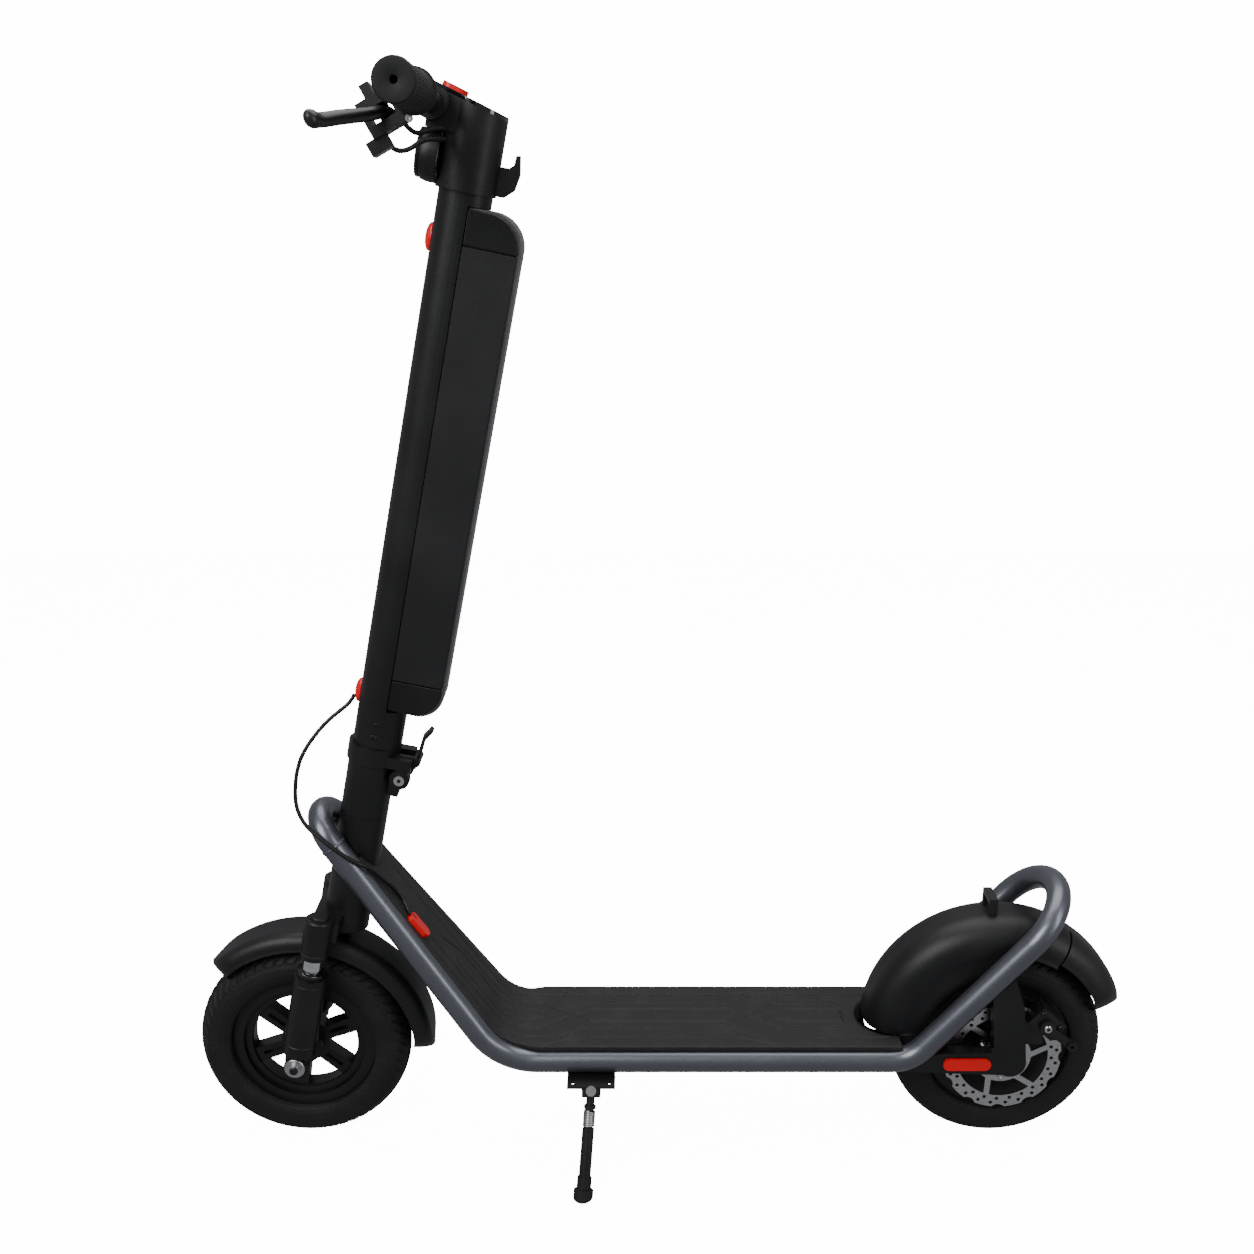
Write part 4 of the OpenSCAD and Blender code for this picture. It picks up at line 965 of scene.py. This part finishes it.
# %% Lamp
beam = -steer_back
lamp_at = steered(0, 0, 1158)
bowl = [(19.7, 45.5), (19.2, 45.5), (16.0, 40.0), (10.0, 35.0), (4.5, 33.4), (0.2, 33.2)]
bowl += [(0.2, 32.4), (19.7, 32.4)]
lathe("lamp_bowl", "stem", chrome, lamp_at, beam, bowl, sides=64)
led = [(0.1, 33.0), (4.0, 33.0), (4.0, 35.6), (3.2, 36.6), (0.1, 37.0)]
lathe("lamp_led", "stem", lamp_yellow, lamp_at, beam, led)
rim = [(20.2, 50.6), (23.4, 50.6), (24.4, 49.8), (24.4, 47.2), (20.2, 47.2)]
lathe("lamp_rim", "stem", cap_plastic, lamp_at, beam, rim, sides=64)

# %% [markdown]
# ## Fork trim
# The upper legs end in stepped caps, each lower leg has a polished wiper at its mouth, and the folding
# joint carries its bolts. Each is one profile turned about the leg or the steering axis.

# %% Fork trim
LEG_X, LEG_Y = -24.8, 51.0
for side, word in ((-1, "left"), (1, "right")):
    foot = steered(LEG_X, side * LEG_Y, 0)
    cap = [(0.1, 312), (15.9, 312), (15.9, 315.6), (14.6, 317), (11.0, 317.4), (10.6, 320.2), (9.6, 321.2),
           (0.1, 321.2)]
    lathe(f"fork_cap_{word}", "steering", powder_coat, foot, steer_axis, cap)
    groove = [(15.8, 272), (16.5, 272.4), (16.5, 274.8), (15.8, 275.2)]
    lathe(f"fork_ring_{word}", "steering", cast_black, foot, steer_axis, groove)
    wiper = [(11.4, 246), (15.2, 246), (16.4, 246.8), (16.4, 248.6), (15.0, 249.8), (11.6, 250.2)]
    lathe(f"fork_wiper_{word}", "fork_lower", screen, foot, steer_axis, wiper)
    boot = [(18.8, 232), (19.4, 232.6), (19.4, 234.4), (18.8, 235)]
    lathe(f"fork_boot_{word}", "fork_lower", cover_plastic, foot, steer_axis, boot)
    low_boot = [(18.8, 150), (19.5, 150.8), (19.5, 153.2), (18.8, 154)]
    lathe(f"fork_shoe_{word}", "fork_lower", cover_plastic, foot, steer_axis, low_boot)
    washer = [(6.1, 15.0), (11.5, 15.0), (12.0, 15.5), (12.0, 16.5), (11.5, 17.0), (6.1, 17.0)]
    axle_at = front_hub + ACROSS * side * LEG_Y * MM
    lathe(f"axle_washer_{word}", "fork_lower", bare_steel, axle_at, ACROSS * side, washer)

# %% Bolts on the folding joint, the head and the brake
def stem_screw(name, x, s, radius=3.4, material=cast_black):
    """A screw on the rider's left of the stem or the fold base."""
    y = -(25.5**2 - x**2) ** 0.5
    outward_axis = steered(x, y, s) - steered(0, 0, s)
    bolt(name, "stem", steered(x, y, s), outward_axis, radius, material, 1.2)


for k, (x, s) in enumerate(((0, 537), (1, 553))):
    stem_screw(f"screw_stem_{k}", x, s, 4.2 - k)
fold_at = steered(35.7, 0, 492.1)
for side, word in ((-1, "left"), (1, "right")):
    face = fold_at + ACROSS * side * 26.6 * MM
    dark = [(0.1, -0.5), (2.2, -0.5), (2.2, 0.25), (0.1, 0.25)]
    lathe(f"fold_pin_eye_{word}", "steering", cast_black, face, ACROSS * side, dark)
    nut_at = front_hub + ACROSS * side * 71.2 * MM
    cap = [(0.1, -0.5), (5.0, -0.5), (5.0, 1.6), (4.2, 2.2), (0.1, 2.2)]
    lathe(f"axle_cap_{word}", "fork_lower", cast_black, nut_at, ACROSS * side, cap)
for k in range(6):
    turn = radians(60 * k + 30)
    at = rear_hub + np.array([cos(turn) * 27, -44.6, -sin(turn) * 27]) * MM
    bolt(f"bolt_rotor_{k}", "rear_wheel", at, -ACROSS, 4.0, bare_steel, high=1.2)
caliper_out = np.array([cos(radians(48)), 0, sin(radians(48))])
caliper_up = np.array([-sin(radians(48)), 0, cos(radians(48))])
for k, z in enumerate((14, -14)):
    at = rear_hub + (caliper_out * 76 + caliper_up * z - ACROSS * 55) * MM
    bolt(f"bolt_caliper_{k}", "frame", at, -ACROSS, 3.2, cast_black)
bolt("bolt_arm", "caliper_arm", from_axle([881, -60.2, 176]), -ACROSS, 4.6, high=2.0)
bolt("bolt_clamp", "stem", on_bar(16, -141, 16.5), -ACROSS, 3.6, high=1.6)

# %% [markdown]
# ## Lamp body and plugs
# The lamp's housing is a dome turned about the beam. The two red plugs in the front of the stem are half
# ellipsoids, cut flat by the tube behind them.

# %% Lamp body and plugs
dome = [(26.9, 29.0), (27.0, 36.0), (26.6, 40.0), (25.4, 44.5), (23.0, 48.2), (20.6, 50.4), (20.2, 49.6)]
dome += [(20.2, 30.5), (24.0, 29.0)]
lamp_body = lathe("lamp_body", "stem", cover_plastic, lamp_at, beam, dome, sides=96)
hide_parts("headlight")


def stem_plug(name, s):
    """Half an ellipsoid, 30 mm tall, 15 mm wide and 6 mm proud of the stem."""
    across = np.linspace(-pi / 2, pi / 2, 25)[:, None]
    around = np.linspace(0, 2 * pi, 49)[None, :-1]
    lift = np.linspace(1, 0.02, 16)[:, None]
    out = np.sqrt(1 - lift**2)
    tall, wide = 15 * lift * np.cos(around), 7.5 * lift * np.sin(around)
    x = -np.sqrt(25.5**2 - wide**2) - 6 * out
    points = np.concatenate([steered(x + 3.0 * (lift == 1), wide, s + tall), steered(x, wide, s + tall)[1:]])
    piece = grid_piece(name, "stem", red_plastic, points)
    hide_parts("stem_plugs")


stem_plug("plug_top", 1080)
stem_plug("plug_low", 582)

# %% [markdown]
# ## Floor and light
# The scooter stands on a pale floor under soft boxes: a large key from the front left, a fill from the
# right, and a strip above and behind that draws a bright edge along the black tubes.

# %% Floor and light
def sheet(name, corners, colour, glow):
    """A white sheet that only the camera sees, so the black pieces don't mirror it."""
    mesh = bpy.data.meshes.new(name)
    mesh.from_pydata(corners, [], [(0, 1, 2, 3)])
    made = bpy.data.objects.new(name, mesh)
    bpy.context.scene.collection.objects.link(made)
    finish = Finish(name)
    finish.set(Base_Color=(*colour, 1), Roughness=0.9, Emission_Color=(1, 1, 1, 1), Emission_Strength=glow)
    mesh.materials.append(finish.material)
    made.visible_glossy = made.visible_diffuse = made.visible_shadow = False


sheet("floor", [(-9, -6, 0), (9, -6, 0), (9, 3, 0), (-9, 3, 0)], (0.9, 0.9, 0.9), 14.0)
sheet("backdrop", [(-9, 3, -1), (9, 3, -1), (9, 3, 6), (-9, 3, 6)], (0.9, 0.9, 0.9), 14.5)


def soft_box(name, place, aim, width, height, power):
    light = bpy.data.lights.new(name, "AREA")
    light.shape, light.size, light.size_y, light.energy = "RECTANGLE", width, height, power
    lamp = bpy.data.objects.new(name, light)
    lamp.location = place
    direction = np.array(aim, float) - np.array(place, float)
    tilt = acos(-direction[2] / np.linalg.norm(direction))
    lamp.rotation_euler = (tilt, 0, atan2(-direction[0], direction[1]))
    bpy.context.scene.collection.objects.link(lamp)


soft_box("key", (-1.6, -2.2, 2.6), (0, 0, 0.5), 2.0, 2.0, 90)
soft_box("fill", (2.4, -1.6, 1.6), (0, 0, 0.5), 0.8, 2.4, 30)
soft_box("top", (0.2, 0.6, 3.0), (0, 0, 0.3), 3.0, 2.0, 60)
world = bpy.data.worlds.new("studio")
world.use_nodes = True
world.node_tree.nodes["Background"].inputs["Color"].default_value = (0.95, 0.96, 1.0, 1)
world.node_tree.nodes["Background"].inputs["Strength"].default_value = 0.32
bpy.context.scene.world = world
